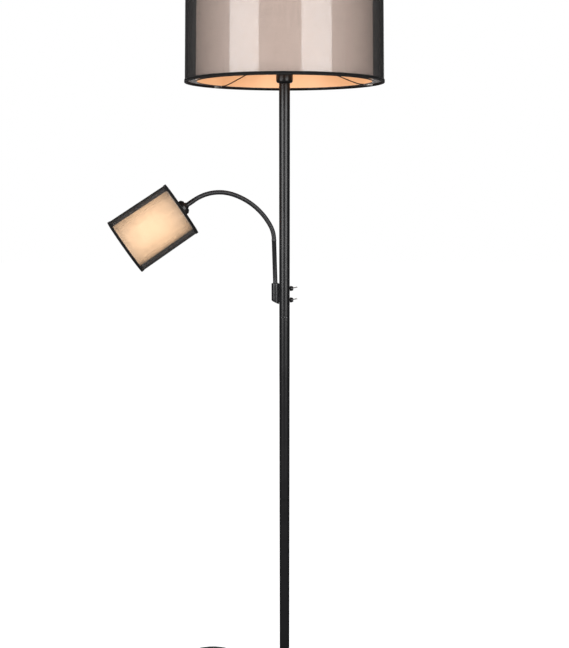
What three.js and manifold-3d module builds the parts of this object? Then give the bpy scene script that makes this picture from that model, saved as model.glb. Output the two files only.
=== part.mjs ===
// Floor lamp with a large double drum shade on a straight pole, and a small reading lamp of the
// same make on a flexible neck at the pole's side. Two toggle switches sit opposite the neck.
//
// Millimetres, +Z up. The origin is on the floor under the pole's axis. The reading arm lies in
// the XZ plane on the -X side, and the switches are on the +X side.

import * as THREE from 'three';
import { mergeVertices } from 'three/addons/utils/BufferGeometryUtils.js';
import Module from 'manifold-3d';

const wasm = await Module();
wasm.setup();

// ---------------------------------------------------------------- driving dimensions

const fitGap = 0.3;                 // between pieces that touch, screw or slide together

// Base
const baseRadius = 128;
const baseRimHeight = 11;
const baseRimFillet = 3;
const baseRise = 14;                // from the rim's top to the seat of the foot collar
const baseSeatRadius = 24;
const coverWall = 1.2;
const coverFloorGap = 1;
const padThickness = 2.5;
const padInset = 7;
const weightSideGap = 1.5;
const counterboreRadius = 17;
const counterboreDepth = 9;
const grooveWidth = 9;
const grooveHeight = 8;

// Threaded tube (M10) and what screws onto it
const nippleRadius = 5;
const nippleBore = 3.9;
const nutFlangeRadius = 14;
const nutFlangeThickness = 1.6;
const nutAcrossFlats = 16;
const nutHeight = 5;
const nippleGripInNut = 6;
const nippleReachInPole = 22;
const collarRadius = 21;
const collarHeight = 8;

// Pole
const poleRadius = 12.5;
const poleWall = 1.5;
const seamHeights = [505, 963];
const seamGap = 0.5;
const couplerLength = 60;
const couplerBore = 6.5;
const insertLength = 28;

// Main lamp: the shade's lower edge, which is also the pole's top
const shadeBottomHeight = 1500;
const topPlugLength = 20;
const leadRadius = 3;

// Shades: radii are those of the outer drum's outside at each end of its axis
const mainShade = { startRadius: 225, endRadius: 219, height: 220, fabricGap: 25, facets: 36 };
const readingShade = { startRadius: 64.8, endRadius: 66.4, height: 157, fabricGap: 13, facets: 24 };
const drumWall = 0.8;
const trimWall = 0.6;
const trimHeight = 6.5;
const wireRadius = 1.4;
const ringInset = 2.8;              // from a shade's end plane to its wire rings' centres
const hemInset = 4.6;               // from a shade's end plane to its inner drum's edge
const spiderAngles = [20, 140, 260];
const spiderPlateReach = 9;
const spiderPlateThickness = 1.5;

// Lampholders, with their cups and bulbs. Depths run from the shade's end plane into the shade.
const mainHolder = {
  cupRadius: 19, cupDepth: 40, cupProud: 0, cupShoulder: 6, bodyRadius: 17.2, socketRadius: 13.9,
  screwLength: 20, capRadius: 13.1, capLength: 26, ballRadius: 30, bulbLength: 105,
};
const readingHolder = {
  cupRadius: 17, cupDepth: 24, cupProud: 12, cupShoulder: 5, bodyRadius: 13.8, socketRadius: 7.6,
  screwLength: 12, capRadius: 7, capLength: 20, ballRadius: 22.5, bulbLength: 76,
};
const cupWall = 1.2;
const holderFloor = 5;
const holderFlange = 2;
const clampRingWidth = 8;
const clampRingHeight = 7;

// Toggle switches, measured down from the shade's lower edge
const switchDrops = { main: 469.5, reading: 497 };
const switchBody = { depth: 11, width: 10, height: 14, outset: 8 };
const switchBarrelRadius = 3;
const switchBarrelBore = 2.6;
const switchNutRadius = 6;
const switchNutReach = 8.5;
const switchNutBore = 3.4;
const leverReach = 10;
const leverPivotInset = 6;          // behind the nut's mouth
const leverRootRadius = 1.05;
const leverTipRadius = 1.5;
const leverTilt = 12;               // degrees above the horizontal, at rest

// Reading arm
const bracketDrop = 457;            // from the shade's lower edge to the bracket's top
const bracketRadius = 9;
const bracketBore = 7;
const bracketMouth = 5.6;
const bracketLip = 8;
const bracketLength = 50;
const bracketMitre = 27;            // degrees
const portRadius = 3.5;
const portDepth = 28;
const armTubeRadius = 5.3;
const armTubeLength = 104.5;
const armStubRadius = 4.6;
const armStubLength = 14;
const armLean = 1.6;                // degrees from upright
const neckRadius = 5.3;
const neckArcs = [                  // tangent arcs in the XZ plane, all bending towards -X
  { turn: 26.5, radius: 68 },
  { turn: 43.5, radius: 154 },
  { turn: 51.7, radius: 103 },
];
const neckTurn = 11.3;              // degrees that the neck stands turned to the front
const neckSegments = 8;
const neckRelief = 0.8;             // cone on the segments' ends, which lets them tilt
const neckFerruleRadius = 5.4;
const neckFerruleLength = 22;
const neckStubRadius = 4.4;
const neckLeadBore = 2.4;

// Mains cord: out of the base's rim, along the floor, into a coil, and on to the plug
const cordRadius = 3;
const cordAzimuth = 135;            // degrees, of the exit in the base's rim
const reliefAxisHeight = 5.2;
const reliefLength = 22;
const reliefInside = 4;
const reliefRootRadius = 4.4;
const reliefTipRadius = 3.5;
const cordRoute = [
  [-106.3, 106.3, 5.1], [-113, 113, 4.2], [-120, 120, 3.4], [-127.3, 127.7, 3.1],
  [-137.2, 136.3, 3.1], [-148, 143.6, 3.1], [-159.8, 149.4, 3.1], [-172.1, 153.6, 3.1],
  [-185, 156.2, 3.1], [-198, 157, 3.1], [-211, 156.2, 3.1], [-223.9, 153.6, 3.1],
  [-236.2, 149.4, 3.1], [-248, 143.6, 3.1], [-258.9, 136.3, 3.1], [-268.7, 127.7, 3.1],
  [-277.4, 117.9, 3.1], [-284.6, 107, 3.1], [-290.6, 95.1, 3.1],
];
const tailRoute = [
  [-293.2, 23.6, 9.4], [-294, 14, 6.2], [-294.2, 4, 3.8], [-293.8, -8, 3.1],
  [-292.6, -20, 3.3], [-290.8, -32, 4.8], [-288.6, -42, 6.4],
];
const coilCentre = [-253, 57];
const coilMeanRadius = 36;
const coilTurnsAcross = 3;
const coilLayers = 3;
const layFloorGap = 0.1;

// Two-pin plug, lying flat
const plugRear = [-287.6, -46.4, 7.2];
const plugHeading = 283;            // degrees in plan
const plugLength = 35;
const plugRearWidth = 13;
const plugFrontWidth = 26;
const plugThickness = 13.6;
const plugRearThickness = 9;
const pinRadius = 2;
const pinLength = 19;
const pinSpacing = 19;

// ---------------------------------------------------------------- materials

function metal(color, roughness, metalness) {
  return new THREE.MeshStandardMaterial({ color, roughness, metalness });
}
const blackMetal = metal(0x18181a, 0.32, 0.35);
const steel = metal(0xb4b6b8, 0.3, 1);
const brass = metal(0xc9a45a, 0.35, 1);
const ironWeight = metal(0x3a3a3c, 0.8, 0.6);
const foamPad = metal(0x202020, 0.95, 0);
const blackPlastic = metal(0x111112, 0.45, 0);
const blackTrim = metal(0x0c0c0d, 0.7, 0);
const organza = metal(0x2c2a2a, 0.35, 0);
const beigeFabric = metal(0xcdb39f, 0.75, 0);
const whiteWire = metal(0xd9d4cc, 0.5, 0);
const phenolic = metal(0x1b1512, 0.4, 0);
const frostedGlass = metal(0xfff3de, 0.3, 0);

// ---------------------------------------------------------------- shape helpers

const radians = THREE.MathUtils.degToRad;
const up = new THREE.Vector3(0, 0, 1);

// A body of revolution about +Z. The outline is [radius, height] pairs: from the axis to the axis,
// or closed on itself, with the material on its left.
function turned(outline, facets, closed = false) {
  const points = outline.map(([r, z]) => new THREE.Vector2(r, z));
  if (closed) points.push(points[0].clone());
  return new THREE.LatheGeometry(points, facets).rotateX(Math.PI / 2);
}

// A tube or ring from its two radii and two heights.
function sleeve(bore, radius, bottom, top, facets) {
  return turned([[bore, bottom], [radius, bottom], [radius, top], [bore, top]], facets, true);
}

function rod(radius, bottom, top, facets) {
  return turned([[0, bottom], [radius, bottom], [radius, top], [0, top]], facets);
}

// A round wire ring about +Z.
function wireRing(ringRadius, height, facets) {
  const section = [];
  for (let k = 0; k < 6; k += 1) {
    const a = (k * Math.PI) / 3;
    section.push([ringRadius + wireRadius * Math.cos(a), height + wireRadius * Math.sin(a)]);
  }
  return turned(section, facets, true);
}

// A straight wire between two points.
function wireBetween(start, end, radius) {
  const along = new THREE.Vector3().subVectors(end, start);
  const wire = new THREE.CylinderGeometry(radius, radius, along.length(), 6).rotateX(Math.PI / 2);
  const turn = new THREE.Quaternion().setFromUnitVectors(up, along.clone().normalize());
  const middle = start.clone().addScaledVector(along, 0.5);
  return wire.applyQuaternion(turn).translate(middle.x, middle.y, middle.z);
}

function polar(radius, degrees, z) {
  const a = radians(degrees);
  return new THREE.Vector3(radius * Math.cos(a), radius * Math.sin(a), z);
}

// A round section swept along a curve.
function tubeAlong(points, radius, sides, steps) {
  const ring = [];
  for (let k = 0; k < sides; k += 1) {
    const a = (2 * Math.PI * k) / sides;
    ring.push(new THREE.Vector2(radius * Math.cos(a), radius * Math.sin(a)));
  }
  const path = new THREE.CatmullRomCurve3(points.map((p) => new THREE.Vector3(...p)));
  return new THREE.ExtrudeGeometry(new THREE.Shape(ring), { steps, extrudePath: path });
}

function asSolid(geometry) {
  const bare = geometry.clone();
  bare.deleteAttribute('normal');
  bare.deleteAttribute('uv');
  const merged = mergeVertices(bare, 1e-4);
  const index = Uint32Array.from(merged.index.array);
  const vertProperties = Float32Array.from(merged.attributes.position.array);
  return new wasm.Manifold(new wasm.Mesh({ numProp: 3, vertProperties, triVerts: index }));
}

function asGeometry(solid) {
  const mesh = solid.getMesh();
  const geometry = new THREE.BufferGeometry();
  geometry.setAttribute('position', new THREE.BufferAttribute(mesh.vertProperties, mesh.numProp));
  geometry.setIndex(new THREE.BufferAttribute(mesh.triVerts, 1));
  return geometry;
}

function joined(...pieces) {
  return asGeometry(pieces.map(asSolid).reduce((whole, piece) => whole.add(piece)));
}

function cut(piece, ...tools) {
  return asGeometry(tools.map(asSolid).reduce((left, tool) => left.subtract(tool), asSolid(piece)));
}

// Turns a shape built along +Z to point along +X.
function alongX(geometry) {
  return geometry.rotateY(Math.PI / 2);
}

const lamp = new THREE.Group();

function add(name, geometry, material, parent = lamp) {
  geometry.computeVertexNormals();
  const mesh = new THREE.Mesh(geometry, material);
  mesh.name = name;
  parent.add(mesh);
  return mesh;
}

// ---------------------------------------------------------------- base

const seatHeight = baseRimHeight + baseRise;

// Height of the cover's outside at a radius: flat at the seat, then falling to the rim.
function domeHeight(r) {
  const edge = baseRadius - baseRimFillet;
  const share = Math.max(0, (r - baseSeatRadius) / (edge - baseSeatRadius));
  return baseRimHeight + baseRise * (1 - share * share);
}

// The dome's outline from the rim inwards, lowered by a wall or a gap.
function domeOutline(from, drop) {
  const steps = 4;
  const points = [];
  for (let k = 0; k <= steps; k += 1) {
    const r = from + ((baseSeatRadius - from) * k) / steps;
    points.push([r, domeHeight(r) - drop]);
  }
  return points;
}

function buildBase() {
  const facets = 32;
  const corner = baseRadius - baseRimFillet;
  const coverHole = nippleRadius + fitGap;
  const weightBottom = padThickness + fitGap;
  const weightRadius = baseRadius - coverWall - weightSideGap;
  const weightDrop = coverWall + fitGap;

  add('base_pad', rod(baseRadius - padInset, 0, padThickness, facets), foamPad);

  const cover = turned([
    [baseRadius - coverWall, coverFloorGap],
    [baseRadius, coverFloorGap],
    [baseRadius, baseRimHeight - baseRimFillet],
    ...domeOutline(corner, 0),
    [coverHole, seatHeight],
    [coverHole, seatHeight - coverWall],
    ...domeOutline(corner, coverWall).reverse(),
    [baseRadius - coverWall, baseRimHeight - baseRimFillet],
  ], facets, true);
  const notchTop = reliefAxisHeight + reliefRootRadius + fitGap;
  const notch = new THREE.BoxGeometry(30, 2 * (reliefRootRadius + fitGap), notchTop)
    .translate(baseRadius, 0, notchTop / 2)
    .rotateZ(radians(cordAzimuth));
  add('base_cover', cut(cover, notch), blackMetal);

  const shoulderRadius = weightRadius - weightDrop - baseRimFillet;
  const blank = turned([
    [nippleRadius + fitGap, weightBottom],
    [weightRadius, weightBottom],
    [weightRadius, baseRimHeight - baseRimFillet - weightDrop],
    ...domeOutline(shoulderRadius, weightDrop),
    [nippleRadius + fitGap, seatHeight - weightDrop],
  ], facets, true);
  const counterbore = rod(counterboreRadius, 0, weightBottom + counterboreDepth, 24);
  const groove = new THREE.BoxGeometry(baseRadius, grooveWidth, grooveHeight + weightBottom)
    .translate(baseRadius / 2, 0, (grooveHeight + weightBottom) / 2)
    .rotateZ(radians(cordAzimuth));
  add('base_weight', cut(blank, counterbore, groove), ironWeight);

  const nutTop = weightBottom + counterboreDepth - fitGap;
  const flangeBottom = nutTop - nutFlangeThickness;
  const hexagon = new THREE.CylinderGeometry(1, 1, nutHeight, 6).rotateX(Math.PI / 2);
  const hexRadius = nutAcrossFlats / Math.sqrt(3);
  hexagon.scale(hexRadius, hexRadius, 1).translate(0, 0, flangeBottom - nutHeight / 2 + 0.5);
  const flange = rod(nutFlangeRadius, flangeBottom, nutTop, 24);
  const thread = rod(nippleRadius + fitGap, 0, seatHeight, 20);
  add('base_nut', cut(joined(flange, hexagon), thread), steel);

  const nippleBottom = nutTop - nippleGripInNut;
  const poleFoot = seatHeight + fitGap + collarHeight + fitGap;
  add('foot_nipple',
    sleeve(nippleBore, nippleRadius, nippleBottom, poleFoot + nippleReachInPole, 16), steel);
  add('foot_collar', turned([
    [nippleRadius + fitGap, seatHeight + fitGap],
    [collarRadius, seatHeight + fitGap],
    [collarRadius, seatHeight + fitGap + collarHeight * 0.5],
    [collarRadius - 2.5, seatHeight + fitGap + collarHeight * 0.85],
    [collarRadius - 5, seatHeight + fitGap + collarHeight],
    [nippleRadius + fitGap, seatHeight + fitGap + collarHeight],
  ], 24, true), blackMetal);
  return { poleFoot, nippleBottom };
}

// ---------------------------------------------------------------- pole

const poleBore = poleRadius - poleWall;
const plugRadius = poleBore - fitGap;
const poleTop = shadeBottomHeight - fitGap;
const bracketAxis = -(poleRadius + fitGap + bracketRadius);
const bracketTop = shadeBottomHeight - bracketDrop;
const switchHeights = {
  main: shadeBottomHeight - switchDrops.main,
  reading: shadeBottomHeight - switchDrops.reading,
};

// A hole for the reading lamp's lead, through the bracket's and the pole's facing walls.
function leadPort() {
  const reach = poleRadius + bracketRadius;
  return alongX(rod(portRadius, bracketAxis, bracketAxis + reach, 16))
    .translate(0, 0, bracketTop - portDepth);
}

function buildPole(poleFoot, nippleBottom) {
  const facets = 20;
  const [firstSeam, secondSeam] = seamHeights;
  const half = seamGap / 2;
  add('pole_lower', sleeve(poleBore, poleRadius, poleFoot, firstSeam - half, facets), blackMetal);
  add('pole_middle',
    sleeve(poleBore, poleRadius, firstSeam + half, secondSeam - half, facets), blackMetal);

  const upper = sleeve(poleBore, poleRadius, secondSeam + half, poleTop, facets);
  const switchHoles = Object.values(switchHeights).map((z) =>
    alongX(rod(switchBarrelRadius + fitGap, 0, 2 * poleRadius, 16)).translate(0, 0, z));
  add('pole_upper', cut(upper, ...switchHoles, leadPort()), blackMetal);

  const couplers = { coupler_lower: firstSeam, coupler_upper: secondSeam };
  Object.entries(couplers).forEach(([name, z]) => {
    const reach = couplerLength / 2;
    add(name, sleeve(couplerBore, plugRadius, z - reach, z + reach, 16), steel);
  });
  add('foot_insert',
    sleeve(nippleRadius + fitGap, plugRadius, poleFoot, poleFoot + insertLength, 16), steel);

  const stubTop = shadeBottomHeight + cupWall + holderFloor + 2 * fitGap;
  add('pole_top_plug', turned([
    [leadRadius + fitGap, poleTop - topPlugLength],
    [plugRadius, poleTop - topPlugLength],
    [plugRadius, poleTop],
    [nippleRadius, poleTop],
    [nippleRadius, stubTop],
    [leadRadius + fitGap, stubTop],
  ], 16, true), steel);

  const leadTop = switchHeights.reading - switchBody.height / 2 - fitGap;
  add('pole_lead', rod(leadRadius, nippleBottom, leadTop, 8), blackPlastic);
}

// ---------------------------------------------------------------- switches

function buildSwitch(name, z) {
  const barrelEnd = poleRadius + switchNutReach - leverPivotInset + 2;
  const nutStart = poleRadius + fitGap;
  const nutEnd = poleRadius + switchNutReach;

  const box = new THREE.BoxGeometry(switchBody.depth, switchBody.width, switchBody.height)
    .translate(switchBody.outset - switchBody.depth / 2, 0, 0);
  const barrel = alongX(rod(switchBarrelRadius, switchBody.outset - 1, barrelEnd, 16));
  const bore = alongX(rod(switchBarrelBore, switchBody.outset + 2, 2 * nutEnd, 16));
  add(`${name}_switch_body`, cut(joined(box, barrel), bore).translate(0, 0, z), blackPlastic);

  add(`${name}_switch_nut`, alongX(turned([
    [switchNutBore, nutStart],
    [switchNutRadius, nutStart],
    [switchNutRadius, nutEnd - 3],
    [switchNutRadius - 0.6, nutEnd - 1.3],
    [switchNutRadius - 1.6, nutEnd],
    [switchNutBore, nutEnd],
  ], 18, true)).translate(0, 0, z), blackMetal);

  const length = leverPivotInset + leverReach;
  const lever = alongX(turned([
    [0, -1.6],
    [1.6, -0.9],
    [1.8, 0],
    [1.6, 0.9],
    [leverRootRadius, 2],
    [leverTipRadius, length - 1.4],
    [leverTipRadius * 0.75, length - 0.4],
    [0, length],
  ], 10));
  const mesh = add(`${name}_switch_lever`, lever, steel);
  mesh.rotation.y = -radians(leverTilt);
  mesh.position.set(nutEnd - leverPivotInset, 0, z);
}

// ---------------------------------------------------------------- reading arm

// A point on the neck's centreline, with the direction it runs in, at a distance along it.
function neckAt(distance) {
  const at = armTop.clone();
  let heading = radians(90 + armLean);
  let left = distance;
  neckArcs.forEach(({ turn, radius }, k) => {
    const last = k === neckArcs.length - 1;
    const length = last ? left : Math.min(left, radians(turn) * radius);
    const next = heading + length / radius;
    at.x += radius * (Math.sin(next) - Math.sin(heading));
    at.z -= radius * (Math.cos(next) - Math.cos(heading));
    heading = next;
    left -= length;
  });
  return { at, heading };
}

const armTop = polar(armTubeLength + fitGap, 90 + armLean, 0);
armTop.set(bracketAxis + armTop.x, 0, bracketTop + armTop.y);
const neckLength = neckArcs.reduce((sum, arc) => sum + radians(arc.turn) * arc.radius, 0);
const neckEnd = neckAt(neckLength);

// The neck and the reading lamp stand in this group, turned about the upright through the arm's top.
const turnedNeck = new THREE.Group();
turnedNeck.position.x = armTop.x;
turnedNeck.rotation.z = radians(neckTurn);
lamp.add(turnedNeck);

// Bends a shape built along +Z so that it follows the neck from a distance along it.
function bentAlongNeck(geometry, start) {
  const position = geometry.attributes.position;
  for (let i = 0; i < position.count; i += 1) {
    const { at, heading } = neckAt(start + position.getZ(i));
    const side = position.getX(i);
    const x = at.x + side * Math.sin(heading);
    position.setXYZ(i, x, position.getY(i), at.z - side * Math.cos(heading));
  }
  return geometry;
}

function buildArm() {
  const barrel = turned([
    [bracketBore, bracketTop - bracketLength - bracketRadius],
    [bracketRadius, bracketTop - bracketLength - bracketRadius],
    [bracketRadius, bracketTop - 0.8],
    [bracketRadius - 0.8, bracketTop],
    [bracketMouth, bracketTop],
    [bracketMouth, bracketTop - bracketLip],
    [bracketBore, bracketTop - bracketLip],
  ], 20, true).translate(bracketAxis, 0, 0);
  const block = new THREE.BoxGeometry(200, 60, 60).translate(0, 0, -30)
    .rotateY(radians(bracketMitre))
    .translate(-poleRadius, 0, bracketTop - bracketLength);
  add('arm_bracket', cut(barrel, block, leadPort()), blackMetal);

  const tube = add('arm_tube', turned([
    [neckLeadBore, -armStubLength],
    [armStubRadius, -armStubLength],
    [armStubRadius, fitGap],
    [armTubeRadius, fitGap],
    [armTubeRadius, armTubeLength - 1],
    [armTubeRadius - 0.4, armTubeLength - fitGap],
    [neckLeadBore, armTubeLength - fitGap],
  ], 16, true), blackMetal);
  tube.position.set(bracketAxis, 0, bracketTop);
  tube.rotation.y = -radians(armLean);

  const length = neckLength / neckSegments;
  const half = fitGap / 2;
  for (let k = 0; k < neckSegments; k += 1) {
    const outline = [[0, half], [neckRadius, half + neckRelief]];
    for (const share of [0.25, 0.5, 0.75]) outline.push([neckRadius, length * share]);
    outline.push([neckRadius, length - half - neckRelief], [0, length - half]);
    const segment = bentAlongNeck(turned(outline, 12), k * length).translate(-armTop.x, 0, 0);
    add(`neck_segment_${k + 1}`, segment, blackMetal, turnedNeck);
  }
}

// ---------------------------------------------------------------- shades and lampholders

// A lamp's shade and fittings, built along +Z from the shade's end plane at its lampholder.
function buildLamp(prefix, shade, holder, parent) {
  const { height, facets } = shade;
  const outside = (z) => THREE.MathUtils.lerp(shade.startRadius, shade.endRadius, z / height);
  const inside = (z) => outside(z) - shade.fabricGap;
  const trimGap = trimWall + fitGap;

  const drum = (radiusAt, low, high) => turned([
    [radiusAt(low) - drumWall, low],
    [radiusAt(low), low],
    [radiusAt(high), high],
    [radiusAt(high) - drumWall, high],
  ], facets, true);
  add(`${prefix}_outer_drum`, drum(outside, trimGap, height - trimGap), organza, parent);
  add(`${prefix}_inner_drum`, drum(inside, hemInset, height - hemInset), beigeFabric, parent);

  // Tape folded over the outer drum's edge and under its ring. It faces +Z or -Z.
  const ringIn = drumWall + fitGap + wireRadius;
  const tape = (edge, facing) => {
    const at = (depth) => edge + facing * depth;
    const outline = [
      [outside(at(0)) - ringIn - wireRadius, at(0)],
      [outside(at(0)) + trimGap, at(0)],
      [outside(at(trimHeight)) + trimGap, at(trimHeight)],
      [outside(at(trimHeight)) + fitGap, at(trimHeight)],
      [outside(at(trimWall)) + fitGap, at(trimWall)],
      [outside(at(trimWall)) - ringIn - wireRadius, at(trimWall)],
    ];
    return turned(facing > 0 ? outline : outline.reverse(), facets, true);
  };
  add(`${prefix}_lower_trim`, tape(0, 1), blackTrim, parent);
  add(`${prefix}_upper_trim`, tape(height, -1), blackTrim, parent);

  // Wire rings with short bridges between them.
  const rings = (z) => {
    const inner = inside(z) - drumWall / 2;
    const outer = outside(z) - ringIn;
    const bridges = spiderAngles.map((a) =>
      wireBetween(polar(inner, a, z), polar(outer, a, z), wireRadius * 0.9));
    return { inner, parts: [wireRing(inner, z, facets), wireRing(outer, z, facets), ...bridges] };
  };

  const flangeBottom = holder.cupDepth + fitGap;
  const plateBottom = flangeBottom + holderFlange + fitGap;
  const plateTop = plateBottom + spiderPlateThickness;
  const plateBore = holder.bodyRadius + fitGap;
  const plateRadius = plateBore + spiderPlateReach;
  const plate = sleeve(plateBore, plateRadius, plateBottom, plateTop, 20);
  const lower = rings(ringInset);
  const arms = spiderAngles.map((a) => wireBetween(
    polar(plateRadius - 0.4, a, (plateBottom + plateTop) / 2),
    polar(lower.inner - wireRadius * 0.6, a, ringInset),
    wireRadius * 0.9,
  ));
  add(`${prefix}_lower_frame`, joined(plate, ...arms, ...lower.parts), whiteWire, parent);
  add(`${prefix}_upper_frame`, joined(...rings(height - ringInset).parts), whiteWire, parent);

  // Cup, with a rounded or conical shoulder at its closed end.
  const { cupRadius, cupDepth, cupProud, cupShoulder } = holder;
  const cupEnd = -cupProud;
  const stubHole = nippleRadius + fitGap;
  add(`${prefix}_cup`, turned([
    [stubHole, cupEnd],
    [cupRadius - cupShoulder, cupEnd],
    [cupRadius - cupShoulder * 0.2, cupEnd + cupShoulder * (cupProud > 0 ? 0.8 : 0.3)],
    [cupRadius, cupEnd + cupShoulder],
    [cupRadius, cupDepth],
    [cupRadius - cupWall, cupDepth],
    [cupRadius - cupWall, cupEnd + cupShoulder + cupWall],
    [cupRadius - cupShoulder, cupEnd + cupWall],
    [stubHole, cupEnd + cupWall],
  ], 20, true), blackMetal, parent);

  // Lampholder body: it sits in the cup, and carries the shade's plate on its flange.
  const bodyBottom = cupEnd + cupShoulder + 2 * cupWall;
  const socketFloor = bodyBottom + holderFloor;
  const screwTop = plateBottom + holder.screwLength;
  const seatRadius = Math.min(holder.bodyRadius, cupRadius - cupWall - fitGap);
  add(`${prefix}_lampholder`, turned([
    [stubHole, bodyBottom],
    [seatRadius, bodyBottom],
    [seatRadius, flangeBottom],
    [cupRadius, flangeBottom],
    [cupRadius, flangeBottom + holderFlange],
    [holder.bodyRadius, flangeBottom + holderFlange],
    [holder.bodyRadius, screwTop],
    [holder.socketRadius, screwTop],
    [holder.socketRadius, socketFloor],
    [stubHole, socketFloor],
  ], 20, true), phenolic, parent);
  add(`${prefix}_clamp_ring`,
    sleeve(plateBore, plateBore + clampRingWidth, plateTop + fitGap,
      plateTop + fitGap + clampRingHeight, 20), phenolic, parent);

  // Bulb: metal cap, then a glass ball that narrows to the cap.
  const capTop = screwTop + 2;
  const capBottom = capTop - holder.capLength;
  add(`${prefix}_bulb_cap`, turned([
    [0, capBottom],
    [holder.capRadius * 0.4, capBottom],
    [holder.capRadius, capBottom + holder.capRadius * 0.35],
    [holder.capRadius, capTop],
    [0, capTop],
  ], 16), brass, parent);
  const ballCentre = capBottom + holder.bulbLength - holder.ballRadius;
  const glass = [[0, capTop + fitGap], [holder.capRadius, capTop + fitGap]];
  for (let a = -50; a < 90; a += 28) {
    const ball = polar(holder.ballRadius, a, 0);
    glass.push([ball.x, ballCentre + ball.y]);
  }
  glass.push([0, ballCentre + holder.ballRadius]);
  add(`${prefix}_bulb_glass`, turned(glass, 16), frostedGlass, parent);
}

function buildReadingHead() {
  const reach = fitGap + neckFerruleLength + fitGap + readingHolder.cupProud;
  const along = new THREE.Vector3(Math.cos(neckEnd.heading), 0, Math.sin(neckEnd.heading));
  const head = new THREE.Group();
  head.position.copy(neckEnd.at).addScaledVector(along, reach);
  head.position.x -= armTop.x;
  head.rotation.y = Math.PI / 2 - neckEnd.heading;
  turnedNeck.add(head);
  buildLamp('reading', readingShade, readingHolder, head);

  const cupEnd = -readingHolder.cupProud;
  const stubEnd = cupEnd + readingHolder.cupShoulder + 2 * cupWall + holderFloor;
  add('neck_end_ferrule', turned([
    [neckLeadBore, cupEnd - fitGap - neckFerruleLength],
    [neckFerruleRadius - 0.4, cupEnd - fitGap - neckFerruleLength],
    [neckFerruleRadius, cupEnd - neckFerruleLength + 1],
    [neckFerruleRadius, cupEnd - fitGap],
    [neckStubRadius, cupEnd - fitGap],
    [neckStubRadius, stubEnd],
    [neckLeadBore, stubEnd],
  ], 16, true), blackMetal, head);
}

// ---------------------------------------------------------------- mains cord and plug

function buildCord() {
  const tip = baseRadius + reliefLength;
  const relief = alongX(turned([
    [0, baseRadius - reliefInside],
    [reliefRootRadius, baseRadius - reliefInside],
    [reliefRootRadius, baseRadius + 3],
    [reliefTipRadius, tip],
    [0, tip],
  ], 16)).translate(0, 0, reliefAxisHeight).rotateZ(radians(cordAzimuth));
  add('cord_strain_relief', relief, blackPlastic);

  add('mains_cord', tubeAlong(cordRoute, cordRadius, 8, 20), blackPlastic);
  add('plug_tail', tubeAlong(tailRoute, cordRadius, 8, 8), blackPlastic);

  const halfWidth = coilTurnsAcross * cordRadius + fitGap;
  const inner = coilMeanRadius - halfWidth;
  const outer = coilMeanRadius + halfWidth;
  const top = 2 * cordRadius * coilLayers + layFloorGap + fitGap;
  add('cord_coil', turned([
    [inner, layFloorGap],
    [outer, layFloorGap],
    [outer, top - 2 * cordRadius],
    [coilMeanRadius + cordRadius, top],
    [coilMeanRadius - cordRadius, top],
    [inner, top - 2 * cordRadius],
  ], 30, true).translate(coilCentre[0], coilCentre[1], 0), blackPlastic);
}

function buildPlug() {
  const plug = new THREE.Group();
  plug.position.set(...plugRear);
  plug.rotation.z = radians(plugHeading);
  lamp.add(plug);

  // The body widens from the cord to the pins. It is drawn in plan, then cut to its side view.
  const plan = new THREE.Shape([
    new THREE.Vector2(0, -plugRearWidth / 2),
    new THREE.Vector2(plugLength * 0.35, -plugRearWidth / 2),
    new THREE.Vector2(plugLength * 0.7, -plugFrontWidth / 2),
    new THREE.Vector2(plugLength, -plugFrontWidth / 2),
    new THREE.Vector2(plugLength, plugFrontWidth / 2),
    new THREE.Vector2(plugLength * 0.7, plugFrontWidth / 2),
    new THREE.Vector2(plugLength * 0.35, plugRearWidth / 2),
    new THREE.Vector2(0, plugRearWidth / 2),
  ]);
  const slab = new THREE.ExtrudeGeometry(plan, { depth: plugThickness, bevelEnabled: false })
    .translate(0, 0, -plugThickness / 2);
  const slope = Math.atan2((plugThickness - plugRearThickness) / 2, plugLength * 0.7);
  const wedge = new THREE.BoxGeometry(3 * plugLength, 3 * plugFrontWidth, plugThickness)
    .translate(0, 0, plugThickness / 2)
    .rotateY(-slope)
    .translate(0, 0, plugRearThickness / 2);
  const sockets = [-0.5, 0.5].map((share) =>
    alongX(rod(pinRadius + fitGap, plugLength - 6, plugLength + 5, 12))
      .translate(0, share * pinSpacing, 0));
  const lowerWedge = wedge.clone().rotateX(Math.PI);
  add('plug_body', cut(slab, wedge, lowerWedge, ...sockets), blackPlastic, plug);
  [-0.5, 0.5].forEach((share, k) => {
    const pin = alongX(turned([
      [0, plugLength - 5.7],
      [pinRadius, plugLength - 5.7],
      [pinRadius, plugLength + pinLength - 1],
      [pinRadius - 0.8, plugLength + pinLength],
      [0, plugLength + pinLength],
    ], 12)).translate(0, share * pinSpacing, 0);
    add(`plug_pin_${k + 1}`, pin, steel, plug);
  });
}

// ---------------------------------------------------------------- the whole lamp

const { poleFoot, nippleBottom } = buildBase();
buildPole(poleFoot, nippleBottom);
buildSwitch('main', switchHeights.main);
buildSwitch('reading', switchHeights.reading);
buildArm();
const mainHead = new THREE.Group();
mainHead.position.z = shadeBottomHeight;
lamp.add(mainHead);
buildLamp('main', mainShade, mainHolder, mainHead);
buildReadingHead();
buildCord();
buildPlug();

export default lamp;
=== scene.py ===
import math

import bmesh
import bpy
from mathutils import Matrix, Vector


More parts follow.
